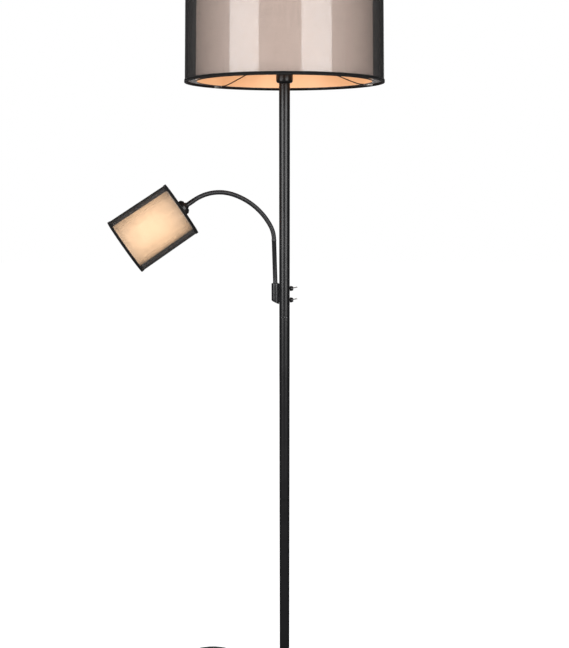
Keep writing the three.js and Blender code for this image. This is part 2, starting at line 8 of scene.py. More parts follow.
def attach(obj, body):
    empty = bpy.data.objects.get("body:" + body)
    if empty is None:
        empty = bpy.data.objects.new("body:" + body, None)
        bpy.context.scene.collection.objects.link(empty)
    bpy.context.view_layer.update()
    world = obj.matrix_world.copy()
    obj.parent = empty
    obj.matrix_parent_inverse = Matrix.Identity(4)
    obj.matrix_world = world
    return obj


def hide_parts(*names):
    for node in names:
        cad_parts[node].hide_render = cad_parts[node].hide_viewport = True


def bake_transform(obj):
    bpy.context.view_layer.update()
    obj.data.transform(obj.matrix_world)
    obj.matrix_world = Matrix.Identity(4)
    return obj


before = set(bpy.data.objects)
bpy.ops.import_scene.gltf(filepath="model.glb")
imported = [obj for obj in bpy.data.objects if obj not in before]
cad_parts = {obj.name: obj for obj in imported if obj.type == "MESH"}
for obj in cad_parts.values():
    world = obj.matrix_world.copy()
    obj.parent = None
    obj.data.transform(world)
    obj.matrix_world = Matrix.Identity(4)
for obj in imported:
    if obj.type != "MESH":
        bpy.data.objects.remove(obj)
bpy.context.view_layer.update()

bl_info = {
    "name": "Double drum floor lamp",
    "version": (1, 0, 0),
    "blender": (4, 5, 0),
    "location": "3D View > Sidebar > Lamp",
    "description": "Makes the floor lamp's shades, pole, flexible neck, base and cord",
    "category": "Object",
}

MM = 0.001


# ---------------------------------------------------------------- sizes, colours and stage settings


class LampSizes(bpy.types.PropertyGroup):
    """Sizes of the finishing details."""

    thread_pitch: bpy.props.FloatProperty(
        name="Thread pitch", description="Spacing of the sheer fabric's threads", default=0.00045,
        unit="LENGTH")
    tape_rib: bpy.props.FloatProperty(
        name="Tape rib", description="Spacing of the ribs across the edge tape", default=0.0011,
        unit="LENGTH")
    stitch_pitch: bpy.props.FloatProperty(
        name="Stitch pitch", description="Distance from stitch to stitch on the edge tape", default=0.0042,
        unit="LENGTH")
    winding_pitch: bpy.props.FloatProperty(
        name="Winding pitch", description="Width of one turn of the neck's wire winding", default=0.0024,
        unit="LENGTH")
    winding_depth: bpy.props.FloatProperty(
        name="Winding depth", description="Depth of the groove between two turns of wire", default=0.00028,
        unit="LENGTH")
    cord_length: bpy.props.FloatProperty(
        name="Cord length", description="Real length of the mains cord", default=1.8, unit="LENGTH")
    cord_diameter: bpy.props.FloatProperty(
        name="Cord diameter", description="Diameter of the mains cord", default=0.006, unit="LENGTH")


class LampFinishes(bpy.types.PropertyGroup):
    """Colours of the lamp's finishes, linear."""

    satin_black: bpy.props.FloatVectorProperty(
        name="Satin black", description="Powder coat of the metalwork", subtype="COLOR", size=3,
        default=(0.0065, 0.0065, 0.007))
    sheer_black: bpy.props.FloatVectorProperty(
        name="Sheer black", description="Threads of the outer drums", subtype="COLOR", size=3,
        default=(0.010, 0.0095, 0.0095))
    sheer_clearness: bpy.props.FloatProperty(
        name="Sheer clearness", description="Share of light that passes the outer drum seen square on",
        default=0.35, min=0.05, max=0.95, subtype="FACTOR")
    lining_beige: bpy.props.FloatVectorProperty(
        name="Lining beige", description="Cloth of the inner drums", subtype="COLOR", size=3,
        default=(0.60, 0.50, 0.42))
    main_glow: bpy.props.FloatVectorProperty(
        name="Main glow", description="Light that comes through the main lining", subtype="COLOR", size=3,
        soft_max=8.0, default=(1.12, 0.84, 0.72))
    reading_glow: bpy.props.FloatVectorProperty(
        name="Reading glow", description="Light that comes through the reading lining", subtype="COLOR",
        size=3, soft_max=8.0, default=(2.9, 1.85, 1.06))
    inside_glow: bpy.props.FloatVectorProperty(
        name="Inside glow", description="Warm light on the inside of the linings", subtype="COLOR", size=3,
        soft_max=8.0, default=(0.42, 0.20, 0.085))
    bulb_light: bpy.props.FloatVectorProperty(
        name="Bulb light", description="Colour of the lit bulbs", subtype="COLOR", size=3,
        default=(1.0, 0.76, 0.50))


class LampStage(bpy.types.PropertyGroup):
    """Floor, light and camera."""

    softbox_power: bpy.props.FloatProperty(
        name="Softbox power", description="Power of each of the two tall softboxes", default=96.0,
        unit="POWER")
    fill_power: bpy.props.FloatProperty(
        name="Fill power", description="Power of the dim light from behind", default=14.0, unit="POWER")
    room_light: bpy.props.FloatProperty(
        name="Room light", description="Strength of the even light from the room", default=0.03)
    camera_height: bpy.props.FloatProperty(
        name="Camera height", description="Height of the camera", default=1.3386, unit="LENGTH")
    camera_distance: bpy.props.FloatProperty(
        name="Camera distance", description="Distance of the camera from the pole", default=2.045,
        unit="LENGTH")


def sizes():
    return bpy.context.scene.lamp_sizes


def finishes():
    return bpy.context.scene.lamp_finishes


# ---------------------------------------------------------------- shader arithmetic and finishes


class Signal:
    """A shader socket that takes part in sums."""

    def __init__(self, tree, socket):
        self.tree = tree
        self.socket = socket

    def reckon(self, operation, *others, flip=False):
        terms = [self, *others]
        if flip:
            terms.reverse()
        node = self.tree.nodes.new("ShaderNodeMath")
        node.operation = operation
        for socket, term in zip(node.inputs, terms):
            if isinstance(term, Signal):
                self.tree.links.new(term.socket, socket)
            else:
                socket.default_value = term
        return Signal(self.tree, node.outputs[0])

    def __add__(self, other):
        return self.reckon("ADD", other)

    def __radd__(self, other):
        return self.reckon("ADD", other)

    def __sub__(self, other):
        return self.reckon("SUBTRACT", other)

    def __rsub__(self, other):
        return self.reckon("SUBTRACT", other, flip=True)

    def __mul__(self, other):
        return self.reckon("MULTIPLY", other)

    def __rmul__(self, other):
        return self.reckon("MULTIPLY", other)

    def __truediv__(self, other):
        return self.reckon("DIVIDE", other)

    def __rtruediv__(self, other):
        return self.reckon("DIVIDE", other, flip=True)

    def __pow__(self, other):
        return self.reckon("POWER", other)

    def __rpow__(self, other):
        return self.reckon("POWER", other, flip=True)

    def least(self, bound):
        return self.reckon("MAXIMUM", bound)

    def most(self, bound):
        return self.reckon("MINIMUM", bound)

    def part(self):
        """The part after the decimal point."""
        return self.reckon("FRACT")

    def sine(self):
        return self.reckon("SINE")

    def size(self):
        return self.reckon("ABSOLUTE")

    def above(self, bound):
        return self.reckon("GREATER_THAN", bound)


class Finish:
    """A material being made, with its surface shader at hand."""

    def __init__(self, name, fixed=None):
        self.material = bpy.data.materials.new(name)
        self.material.use_nodes = True
        self.tree = self.material.node_tree
        self.shader = self.tree.nodes["Principled BSDF"]
        for socket, value in (fixed or {}).items():
            self.join(value, self.shader.inputs[socket])

    def join(self, value, socket):
        if isinstance(value, Signal):
            self.tree.links.new(value.socket, socket)
        else:
            socket.default_value = value

    def node(self, kind, settings=None, values=None, output=0):
        node = self.tree.nodes.new(kind)
        for key, value in (settings or {}).items():
            setattr(node, key, value)
        for key, value in (values or {}).items():
            self.join(value, node.inputs[key])
        return Signal(self.tree, node.outputs[output])

    def feed(self, values):
        for socket, value in values.items():
            self.join(value, self.shader.inputs[socket])
        return self.material

    def place(self):
        return self.node("ShaderNodeTexCoord", output=3)

    def stretch(self, vector, scale):
        return self.node("ShaderNodeVectorMath", {"operation": "MULTIPLY"}, {0: vector, 1: scale})

    def noise(self, scale, detail=2.0, at=None, output=0):
        values = {"Vector": at or self.place(), "Scale": scale, "Detail": detail}
        return self.node("ShaderNodeTexNoise", {"noise_dimensions": "3D"}, values, output)

    def cells(self, scale, at=None):
        values = {"Vector": at or self.place(), "Scale": scale}
        return self.node("ShaderNodeTexVoronoi", {"feature": "F1"}, values)

    def map(self):
        """The piece's own UV map, in metres: round it, and along its outline."""
        uv = self.node("ShaderNodeUVMap", {"uv_map": "UVMap"})
        split = self.tree.nodes.new("ShaderNodeSeparateXYZ")
        self.tree.links.new(uv.socket, split.inputs[0])
        return Signal(self.tree, split.outputs[0]), Signal(self.tree, split.outputs[1])

    def colours(self, share, first, second, mode="MIX"):
        values = {0: share, 6: colour(first), 7: colour(second)}
        return self.node("ShaderNodeMix", {"data_type": "RGBA", "blend_type": mode}, values, 2)

    def relief(self, height, distance, strength=1.0):
        values = {"Height": height, "Distance": distance, "Strength": strength}
        return self.node("ShaderNodeBump", None, values)


def colour(value):
    return value if isinstance(value, Signal) else (*tuple(value)[:3], 1.0)


def shaded(base, factor):
    return tuple(channel * factor for channel in tuple(base)[:3])


def satin_black(name="satin_black", base=None, rough=0.30, peel=1300.0):
    """Powder coat: fine orange peel, faint hand smudges and a little dust."""
    base = base or finishes().satin_black
    work = Finish(name, {"Specular IOR Level": 0.26, "Coat Roughness": 0.15})
    smudge = work.noise(14.0, 5.0)
    dust = work.cells(420.0)
    grain = work.noise(peel, 2.0)
    specks = (0.09 - dust).least(0.0) * 5.0
    tone = work.colours(smudge, shaded(base, 0.75), shaded(base, 1.5))
    return work.feed({
        "Base Color": work.colours(specks.most(1.0), tone, (0.10, 0.098, 0.095)),
        "Roughness": rough - 0.05 + smudge * 0.16,
        "Coat Weight": smudge * 0.12,
        "Normal": work.relief(grain, 0.00008, 0.15),
    })


def brushed_metal(name, base, rough, scratch=(60.0, 60.0, 900.0), metallic=1.0):
    """Bright metal with fine turning lines, tarnish in patches and lighter rubs."""
    work = Finish(name, {"Metallic": metallic})
    lines = work.noise(1.0, 3.0, work.stretch(work.place(), scratch))
    tarnish = work.noise(45.0, 4.0)
    return work.feed({
        "Base Color": work.colours(tarnish, shaded(base, 0.78), shaded(base, 1.12)),
        "Roughness": rough + tarnish * 0.15,
        "Normal": work.relief(lines, 0.00005, 0.4),
    })


def moulded(name, base, rough, grain=1500.0, gloss=0.5):
    """Moulded plastic or rubber with a fine mould grain and handling marks."""
    work = Finish(name, {"Specular IOR Level": gloss})
    fine = work.noise(grain, 2.0)
    marks = work.noise(30.0, 4.0)
    return work.feed({
        "Base Color": work.colours(marks, shaded(base, 0.8), shaded(base, 1.25)),
        "Roughness": rough + marks * 0.18 - 0.09,
        "Normal": work.relief(fine, 0.00008, 0.3),
    })


def cast_iron(name="cast_iron"):
    """Sand-cast iron, dark and pitted."""
    work = Finish(name, {"Metallic": 0.7})
    pits = work.cells(350.0)
    rust = (work.noise(22.0, 6.0) - 0.55).least(0.0) * 3.0
    return work.feed({
        "Base Color": work.colours(rust.most(1.0), (0.05, 0.05, 0.052), (0.13, 0.05, 0.025)),
        "Roughness": 0.62 + rust * 0.2,
        "Normal": work.relief(pits, 0.0006, 0.7),
    })


def foam(name="foam_pad"):
    """Closed-cell foam sheet: small open pores and a felted tint."""
    work = Finish(name, {"Specular IOR Level": 0.2, "Sheen Weight": 0.3})
    pores = work.cells(900.0)
    cloud = work.noise(40.0, 5.0)
    return work.feed({
        "Base Color": work.colours(cloud, (0.012, 0.012, 0.013), (0.03, 0.03, 0.032)),
        "Roughness": 0.86 + cloud * 0.1,
        "Normal": work.relief(pores, 0.0004, 0.8),
    })


def white_enamel(name="white_enamel"):
    """Dipped white enamel on wire: thick and thin places, slightly yellowed."""
    work = Finish(name, {"Specular IOR Level": 0.5, "Coat Roughness": 0.15})
    runs = work.noise(120.0, 3.0)
    age = work.noise(18.0, 4.0)
    return work.feed({
        "Base Color": work.colours(age, (0.72, 0.70, 0.66), (0.80, 0.78, 0.75)),
        "Roughness": 0.30 + age * 0.12,
        "Coat Weight": (runs * 0.6).most(0.6),
        "Normal": work.relief(runs, 0.0003, 0.5),
    })


def edge_tape(name="edge_tape"):
    """Black ribbed tape with ribs across its width and a soft nap."""
    work = Finish(name, {"Specular IOR Level": 0.10, "Sheen Weight": 0.06, "Sheen Roughness": 0.4,
                         "Sheen Tint": (0.5, 0.5, 0.5, 1.0)})
    around, along = work.map()
    rib = (around * (math.tau / sizes().tape_rib)).sine() * 0.5 + 0.5
    weft = (along * (math.tau / 0.0004)).sine() * 0.5 + 0.5
    fuzz = work.noise(1400.0, 2.0)
    # The base colour is darker where the rib relief is low, which is painted shade in the valleys between the
    # ribs; the fuzz adds a random tone.
    return work.feed({
        "Base Color": work.colours(rib * 0.7 + fuzz * 0.3, (0.002, 0.002, 0.002), (0.008, 0.0076, 0.0076)),
        "Roughness": 0.72 + fuzz * 0.2,
        "Normal": work.relief(rib + weft * 0.3 + fuzz * 0.3, 0.00018, 0.8),
    })


def sewing_thread(name="sewing_thread"):
    """Twisted black thread, its ply ridges painted lighter as a highlight."""
    work = Finish(name, {"Sheen Weight": 0.4, "Specular IOR Level": 0.3})
    ply = work.noise(2600.0, 2.0)
    # The base colour is lighter where the ply relief is high, which is a painted highlight on the ridges.
    return work.feed({
        "Base Color": work.colours(ply, (0.008, 0.008, 0.008), (0.035, 0.034, 0.034)),
        "Roughness": 0.6 + ply * 0.25,
        "Normal": work.relief(ply, 0.0001, 0.6),
    })


def cord_jacket(name="cord_jacket"):
    """Soft black PVC jacket: drawn faintly lengthwise, with scuffs."""
    work = Finish(name, {"Specular IOR Level": 0.45})
    around, along = work.map()
    drawn = work.noise(1.0, 3.0, work.node(
        "ShaderNodeCombineXYZ", None, {0: around * 1800.0, 1: along * 40.0}))
    scuff = (work.noise(60.0, 5.0) - 0.5).least(0.0) * 2.0
    return work.feed({
        "Base Color": work.colours(scuff.most(1.0), (0.011, 0.011, 0.012), (0.028, 0.028, 0.029)),
        "Roughness": 0.40 + scuff * 0.3,
        "Normal": work.relief(drawn, 0.00008, 0.35),
    })


def weave(work, pitch):
    """Square weave on the map: 1 on a thread and 0 in a hole, with slubs that thicken a few threads."""
    around, along = work.map()
    grid = work.node("ShaderNodeCombineXYZ", None, {0: around * 14.0, 1: along * 900.0})
    other = work.node("ShaderNodeCombineXYZ", None, {0: around * 900.0, 1: along * 14.0})
    slub = work.noise(1.0, 2.0, grid)
    slub_two = work.noise(1.0, 2.0, other)
    warp = ((around / pitch).part() - 0.5).size()
    weft = ((along / pitch).part() - 0.5).size()
    on_warp = warp.above(0.40 - slub_two * 0.12)
    on_weft = weft.above(0.40 - slub * 0.12)
    return on_warp.reckon("MAXIMUM", on_weft), slub * 0.5 + slub_two * 0.5


def sheer_face(name="sheer_outside"):
    """Black organza laminated on clear film: seen more on edge, its threads close up."""
    clearness = finishes().sheer_clearness
    work = Finish(name, {"Coat Roughness": 0.05, "Coat IOR": 1.5, "Specular IOR Level": 0.3})
    thread, slub = weave(work, sizes().thread_pitch)
    facing = work.node("ShaderNodeLayerWeight", None, {"Blend": 0.5}, 1)
    square_on = (1.0 - facing).least(0.10)
    cloud = work.noise(5.0, 3.0) * 0.06 - 0.03
    clear = (clearness * 1.78) * (1.0 - thread) + (clearness * 0.46) * thread + (0.5 - slub) * 0.12 + cloud
    passing = clear.least(0.02) ** (1.35 / square_on - 0.35)
    ripple = work.noise(1.0, 2.0, work.stretch(work.place(), (7.0, 7.0, 3.0)))
    return work.feed({
        "Base Color": work.colours(thread, finishes().sheer_black, (0.022, 0.021, 0.021)),
        "Roughness": 0.42 + thread * 0.12,
        "Coat Weight": 1.0,
        "Alpha": 1.0 - passing,
        "Normal": work.relief(ripple, 0.004, 0.35),
    })


def clear_film(name="clear_film"):
    """Back of the film that the sheer cloth is laid on."""
    work = Finish(name, {"IOR": 1.45, "Base Color": (0.3, 0.3, 0.3, 1.0)})
    wave = work.noise(9.0, 2.0)
    return work.feed({"Roughness": 0.10 + wave * 0.06, "Alpha": 0.04 + wave * 0.05})


def lining_face(name, glow, height, centre=None, droop=0.0, girth=1.0, shaded_side=0.0):
    """Beige cloth with light coming through it, weaker near the two hems and paler on them; shaded_side dims
    the glow on one side of the drum as painted shade.
    """
    beige = finishes().lining_beige
    work = Finish(name, {"Emission Strength": 1.0, "Specular IOR Level": 0.15, "Sheen Weight": 0.15})
    around, along = work.map()
    thread, slub = weave(work, 0.0009)
    edge = along.reckon("MINIMUM", (height - along).size())
    hem = 1.0 - (edge / 0.0035).most(1.0)
    rise = (edge / 0.022).most(1.0)
    power = 0.72 + rise * 0.28
    if centre is not None:
        offset = (along - centre) / 0.057
        power = power * (1.0 - offset * offset * droop)
    # Painted shade: the glow is dimmed, by up to shaded_side, on the side of the drum half way round its map,
    # the side that gets less light.
    if shaded_side:
        under = 0.0 - (around * (math.tau / girth)).reckon("COSINE")
        power = power * (1.0 - ((under - 0.80) * 5.0).least(0.0).most(1.0) * shaded_side)
    power = power * (0.94 + slub * 0.12) * (1.0 - hem * 0.62)
    lit = work.colours(1.0, glow, (1.0, 1.0, 1.0), "MULTIPLY")
    paler = work.colours(hem, lit, tuple([sum(tuple(glow)) / 3.2] * 3))
    strength = work.node("ShaderNodeCombineXYZ", None, {0: power, 1: power, 2: power})
    return work.feed({
        "Base Color": work.colours(thread * 0.5, beige, shaded(beige, 0.86)),
        "Roughness": 0.85 + slub * 0.1,
        "Emission Color": work.colours(1.0, paler, strength, "MULTIPLY"),
        "Normal": work.relief(thread, 0.0001, 0.3),
    })


def lining_inside(name, glow):
    """Inside of the lining: warm white film that glows from the bulb; its base colour is tinted orange as
    painted warm bulb light.
    """
    work = Finish(name, {"Emission Strength": 1.0, "Specular IOR Level": 0.4})
    cloud = work.noise(12.0, 3.0)
    grain = work.noise(700.0, 2.0)
    return work.feed({
        # Base colour tinted orange beyond the film's warm white, as painted warm light from the bulb.
        "Base Color": work.colours(cloud, (0.62, 0.40, 0.24), (0.68, 0.45, 0.28)),
        "Roughness": 0.42 + cloud * 0.12,
        "Emission Color": work.colours(cloud, shaded(glow, 0.92), shaded(glow, 1.06)),
        "Normal": work.relief(grain, 0.00006, 0.3),
    })


def opal_glass(name="opal_glass"):
    """Lit opal bulb: white coat whose glow and gloss vary a little at random."""
    work = Finish(name, {"Emission Strength": 1.6, "Specular IOR Level": 0.6, "Roughness": 0.12})
    coat = work.noise(60.0, 3.0)
    light = finishes().bulb_light
    return work.feed({
        "Base Color": work.colours(coat, (0.86, 0.84, 0.80), (0.92, 0.90, 0.87)),
        "Emission Color": work.colours(coat, shaded(light, 0.95), light),
        "Coat Weight": 0.3 + coat * 0.2,
    })


SHADE_HEIGHT = {"main": 0.220, "reading": 0.157}

MAKERS = {
    "satin_black": satin_black,
    "neck_wire": lambda: satin_black("neck_wire", (0.010, 0.010, 0.011), 0.34, 1500.0),
    "nickel": lambda: brushed_metal("nickel", (0.62, 0.60, 0.57), 0.16),
    "steel": lambda: brushed_metal("zinc_steel", (0.46, 0.46, 0.47), 0.34),
    "brass": lambda: brushed_metal("brass", (0.72, 0.50, 0.20), 0.28),
    "iron": cast_iron,
    "foam": foam,
    "black_plastic": lambda: moulded("black_plastic", (0.014, 0.014, 0.015), 0.42),
    "phenolic": lambda: moulded("phenolic", (0.016, 0.013, 0.012), 0.22, 500.0, 0.6),
    "jacket": cord_jacket,
    "tape": edge_tape,
    "thread": sewing_thread,
    "enamel": white_enamel,
    "sheer": sheer_face,
    "film": clear_film,
    "main_lining": lambda: lining_face("main_lining", finishes().main_glow, SHADE_HEIGHT["main"]),
    "reading_lining": lambda: lining_face(
        "reading_lining", finishes().reading_glow, SHADE_HEIGHT["reading"], 0.080, 0.28, 0.336, 0.6),
    "main_inside": lambda: lining_inside("main_lining_inside", finishes().inside_glow),
    "reading_inside": lambda: lining_inside("reading_lining_inside", shaded(finishes().inside_glow, 1.5)),
    "opal": opal_glass,
}
made = {}


def finish(name):
    """The named finish, made when it is first asked for."""
    if name not in made:
        made[name] = MAKERS[name]()
    return made[name]


# ---------------------------------------------------------------- shapes


def spot(*values):
    """A point from millimetres."""
    return Vector(values) * MM


def polar(radius, angle, height):
    return Vector((radius * math.cos(angle), radius * math.sin(angle), height))


def ease(share):
    share = min(max(share, 0.0), 1.0)
    return share * share * (3 - 2 * share)


class Shape:
    """Skins gathered into one mesh, with a map in metres and a finish for each stretch."""

    def __init__(self):
        self.points = []
        self.faces = []
        self.maps = []
        self.slots = []

    def skin(self, rings, loop=False, slots=0):
        """Joins rings of equally many points; a ring of one point closes an end."""
        first = []
        for ring in rings:
            first.append(len(self.points))
            self.points.extend(ring)
        count = max(len(ring) for ring in rings)
        widest = max(rings, key=lambda ring: (ring[0] - ring[len(ring) // 2]).length)
        girth = sum((widest[k] - widest[k - 1]).length for k in range(len(widest)))
        last = len(rings) if loop else len(rings) - 1
        run = 0.0
        for number in range(last):
            low, high = number, (number + 1) % len(rings)
            step = (rings[high][0] - rings[low][0]).length
            slot = slots[number % len(slots)] if isinstance(slots, (list, tuple)) else slots
            for k in range(count):
                corners = []
                for ring, index, along in ((low, k, run), (low, k + 1, run), (high, k + 1, run + step),
                                           (high, k, run + step)):
                    single = len(rings[ring]) == 1
                    if single and index == k + 1:
                        continue
                    point = first[ring] + (0 if single else index % count)
                    corners.append((point, ((k + 0.5 if single else index) / count * girth, along)))
                if len(corners) < 3:
                    continue
                self.faces.append([corner[0] for corner in corners])
                self.maps.extend(corner[1] for corner in corners)
                self.slots.append(slot)
            run += step
        return self

    def turned(self, outline, sides=96, closed=False, slots=0, wobble=None):
        """Turns an outline of (radius, height) in millimetres round the axis."""
        rings = []
        for radius, height in outline:
            if radius < 1e-6:
                rings.append([Vector((0, 0, height * MM))])
                continue
            ring = []
            for k in range(sides):
                angle = math.tau * k / sides
                far = radius * MM * (1 if wobble is None else wobble(angle, height))
                ring.append(polar(far, angle, height * MM))
            rings.append(ring)
        return self.skin(rings, closed, slots)

    def tube(self, path, radius, sides=16, loop=False, slots=0):
        """A round rod or cord along a path; radius is a number or a function of the share of the path."""
        count = len(path)
        tangents = []
        for k in range(count):
            ahead = path[(k + 1) % count] if loop or k < count - 1 else path[k]
            behind = path[k - 1] if loop or k > 0 else path[k]
            tangents.append((ahead - behind).normalized())
        side = tangents[0].cross(Vector((0, 0, 1)))
        if side.length < 0.1:
            side = tangents[0].cross(Vector((0, 1, 0)))
        side.normalize()
        rings = []
        for k, (point, tangent) in enumerate(zip(path, tangents)):
            side = (side - tangent * side.dot(tangent)).normalized()
            other = tangent.cross(side)
            far = radius(k / (count - 1)) if callable(radius) else radius
            rings.append([point + (side * math.cos(math.tau * n / sides)
                                   + other * math.sin(math.tau * n / sides)) * far for n in range(sides)])
        if not loop:
            rings = [[path[0].copy()]] + rings + [[path[-1].copy()]]
        return self.skin(rings, loop, slots)

    def hoop(self, radius, height, wire, sides=128, slots=0):
        """A wire hoop round the axis."""
        ring = [(radius + wire * math.cos(math.tau * k / 12), height + wire * math.sin(math.tau * k / 12))
                for k in range(12)]
        return self.turned(ring, sides, True, slots)

    def blob(self, middle, size, slots=0):
        """A weld blob: a small soft ball; size is millimetres on each axis."""
        rings = []
        for row in range(9):
            lift = math.pi * row / 8 - math.pi / 2
            flat = math.cos(lift)
            if flat < 1e-6:
                rings.append([middle + Vector((0, 0, math.sin(lift) * size[2] * MM))])
                continue
            rings.append([middle + Vector((flat * math.cos(math.tau * n / 12) * size[0],
                                           flat * math.sin(math.tau * n / 12) * size[1],
                                           math.sin(lift) * size[2])) * MM for n in range(12)])
        return self.skin(rings, False, slots)

    def piece(self, name, names, place=None, crease=38.0):
        """The finished object: faces outward, its place in its mesh."""
        mesh = bpy.data.meshes.new(name)
        mesh.from_pydata(self.points, [], self.faces)
        layer = mesh.uv_layers.new(name="UVMap")
        layer.data.foreach_set("uv", [value for pair in self.maps for value in pair])
        mesh.polygons.foreach_set("material_index", self.slots)
        for each in [names] if isinstance(names, str) else names:
            mesh.materials.append(finish(each))
        tidy = bmesh.new()
        tidy.from_mesh(mesh)
        bmesh.ops.recalc_face_normals(tidy, faces=tidy.faces)
        tidy.to_mesh(mesh)
        tidy.free()
        if place is not None:
            mesh.transform(place)
        mesh.polygons.foreach_set("use_smooth", [True] * len(mesh.polygons))
        mesh.set_sharp_from_angle(angle=math.radians(crease))
        return linked(name, mesh)


def linked(name, mesh):
    piece = bpy.data.objects.new(name, mesh)
    bpy.context.scene.collection.objects.link(piece)
    return piece


def settle(piece, body, slot, *nodes):
    """Gives a finished piece its body and hides the CAD nodes it stands for; the slot argument is not used."""
    if nodes:
        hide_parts(*nodes)
    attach(piece, body)
    return piece


def rounded(outline, radius, steps=4):
    """Softens the corners of a closed outline of (radius, height) points."""
    soft = []
    count = len(outline)
    for k in range(count):
        here = Vector(outline[k])
        before = Vector(outline[k - 1]) - here
        after = Vector(outline[(k + 1) % count]) - here
        cut = min(radius, before.length * 0.45, after.length * 0.45)
        start, end = here + before.normalized() * cut, here + after.normalized() * cut
        for n in range(steps + 1):
            t = n / steps
            soft.append(tuple(start * (1 - t) ** 2 + here * 2 * t * (1 - t) + end * t * t))
    return soft


def smooth_line(points, step):
    """A smooth curve through the points, cut into equal steps."""
    fine = []
    for k in range(len(points) - 1):
        a = points[max(k - 1, 0)]
        b = points[k]
        c = points[k + 1]
        d = points[min(k + 2, len(points) - 1)]
        for n in range(24):
            t = n / 24
            fine.append(0.5 * ((2 * b) + (c - a) * t + (2 * a - 5 * b + 4 * c - d) * t * t
                               + (3 * b - a - 3 * c + d) * t ** 3))
    fine.append(points[-1].copy())
    return even_steps(fine, step)


def even_steps(line, step):
    runs = [0.0]
    for k in range(1, len(line)):
        runs.append(runs[-1] + (line[k] - line[k - 1]).length)
    count = max(2, round(runs[-1] / step))
    result = []
    k = 0
    for n in range(count + 1):
        target = runs[-1] * n / count
        while k < len(line) - 2 and runs[k + 1] < target:
            k += 1
        span = runs[k + 1] - runs[k]
        share = 0.0 if span < 1e-9 else (target - runs[k]) / span
        result.append(line[k].lerp(line[k + 1], min(max(share, 0.0), 1.0)))
    return result


def along_x(x, y, z, tilt=0.0):
    """Stands a turned shape on its side, its axis along +X, tilted up by some degrees."""
    turn = Matrix.Rotation(math.radians(90 - tilt), 4, "Y")
    return Matrix.Translation(spot(x, y, z)) @ turn


# ---------------------------------------------------------------- node groups for what repeats


def socket_in(group, name, kind, default=None):
    item = group.interface.new_socket(name=name, in_out="INPUT", socket_type=kind)
    if default is not None:
        item.default_value = default
    return item.identifier


def wire(group, source, target):
    group.links.new(source, target)


def group_node(group, kind, settings=None, values=None):
    node = group.nodes.new(kind)
    for key, value in (settings or {}).items():
        setattr(node, key, value)
    for key, value in (values or {}).items():
        if isinstance(value, bpy.types.NodeSocket):
            group.links.new(value, node.inputs[key])
        else:
            node.inputs[key].default_value = value
    return node


def beads_round():
    """Node group: long beads set round a circle, for stitches and for ribs."""
    group = bpy.data.node_groups.new("beads_round", "GeometryNodeTree")
    group.interface.new_socket(name="Geometry", in_out="OUTPUT", socket_type="NodeSocketGeometry")
    keys = {
        "Count": socket_in(group, "Count", "NodeSocketInt", 24),
        "Radius": socket_in(group, "Radius", "NodeSocketFloat", 0.02),
        "Height": socket_in(group, "Height", "NodeSocketFloat", 0.0),
        "Bead": socket_in(group, "Bead", "NodeSocketVector", (0.001, 0.001, 0.001)),
        "Uneven": socket_in(group, "Uneven", "NodeSocketFloat", 0.0),
        "Seed": socket_in(group, "Seed", "NodeSocketInt", 4),
        "Finish": socket_in(group, "Finish", "NodeSocketMaterial"),
    }
    given = group.nodes.new("NodeGroupInput").outputs
    circle = group_node(group, "GeometryNodeMeshCircle", None, {
        "Vertices": given["Count"], "Radius": given["Radius"]})
    lift = group_node(group, "ShaderNodeCombineXYZ", None, {2: given["Height"]})
    lifted = group_node(group, "GeometryNodeSetPosition", None, {
        "Geometry": circle.outputs[0], "Offset": lift.outputs[0]})
    bead = group_node(group, "GeometryNodeMeshIcoSphere", None, {"Radius": 0.5, "Subdivisions": 2})
    spread = group_node(group, "FunctionNodeRandomValue", {"data_type": "FLOAT"}, {
        2: 0.0, 3: given["Uneven"], "Seed": given["Seed"]})
    swing = group_node(group, "ShaderNodeMath", {"operation": "SUBTRACT"}, {
        0: spread.outputs[1], 1: 0.0})
    here = group.nodes.new("GeometryNodeInputPosition")
    split = group_node(group, "ShaderNodeSeparateXYZ", None, {0: here.outputs[0]})
    angle = group_node(group, "ShaderNodeMath", {"operation": "ARCTAN2"}, {
        0: split.outputs[1], 1: split.outputs[0]})
    turn = group_node(group, "ShaderNodeCombineXYZ", None, {1: swing.outputs[0], 2: angle.outputs[0]})
    facing = group_node(group, "FunctionNodeEulerToRotation", None, {0: turn.outputs[0]})
    beads = group_node(group, "GeometryNodeInstanceOnPoints", None, {
        "Points": lifted.outputs[0], "Instance": bead.outputs[0], "Rotation": facing.outputs[0],
        "Scale": given["Bead"]})
    solid = group_node(group, "GeometryNodeRealizeInstances", None, {0: beads.outputs[0]})
    coated = group_node(group, "GeometryNodeSetMaterial", None, {
        "Geometry": solid.outputs[0], "Material": given["Finish"]})
    out = group.nodes.new("NodeGroupOutput")
    wire(group, coated.outputs[0], out.inputs[0])
    return group, keys


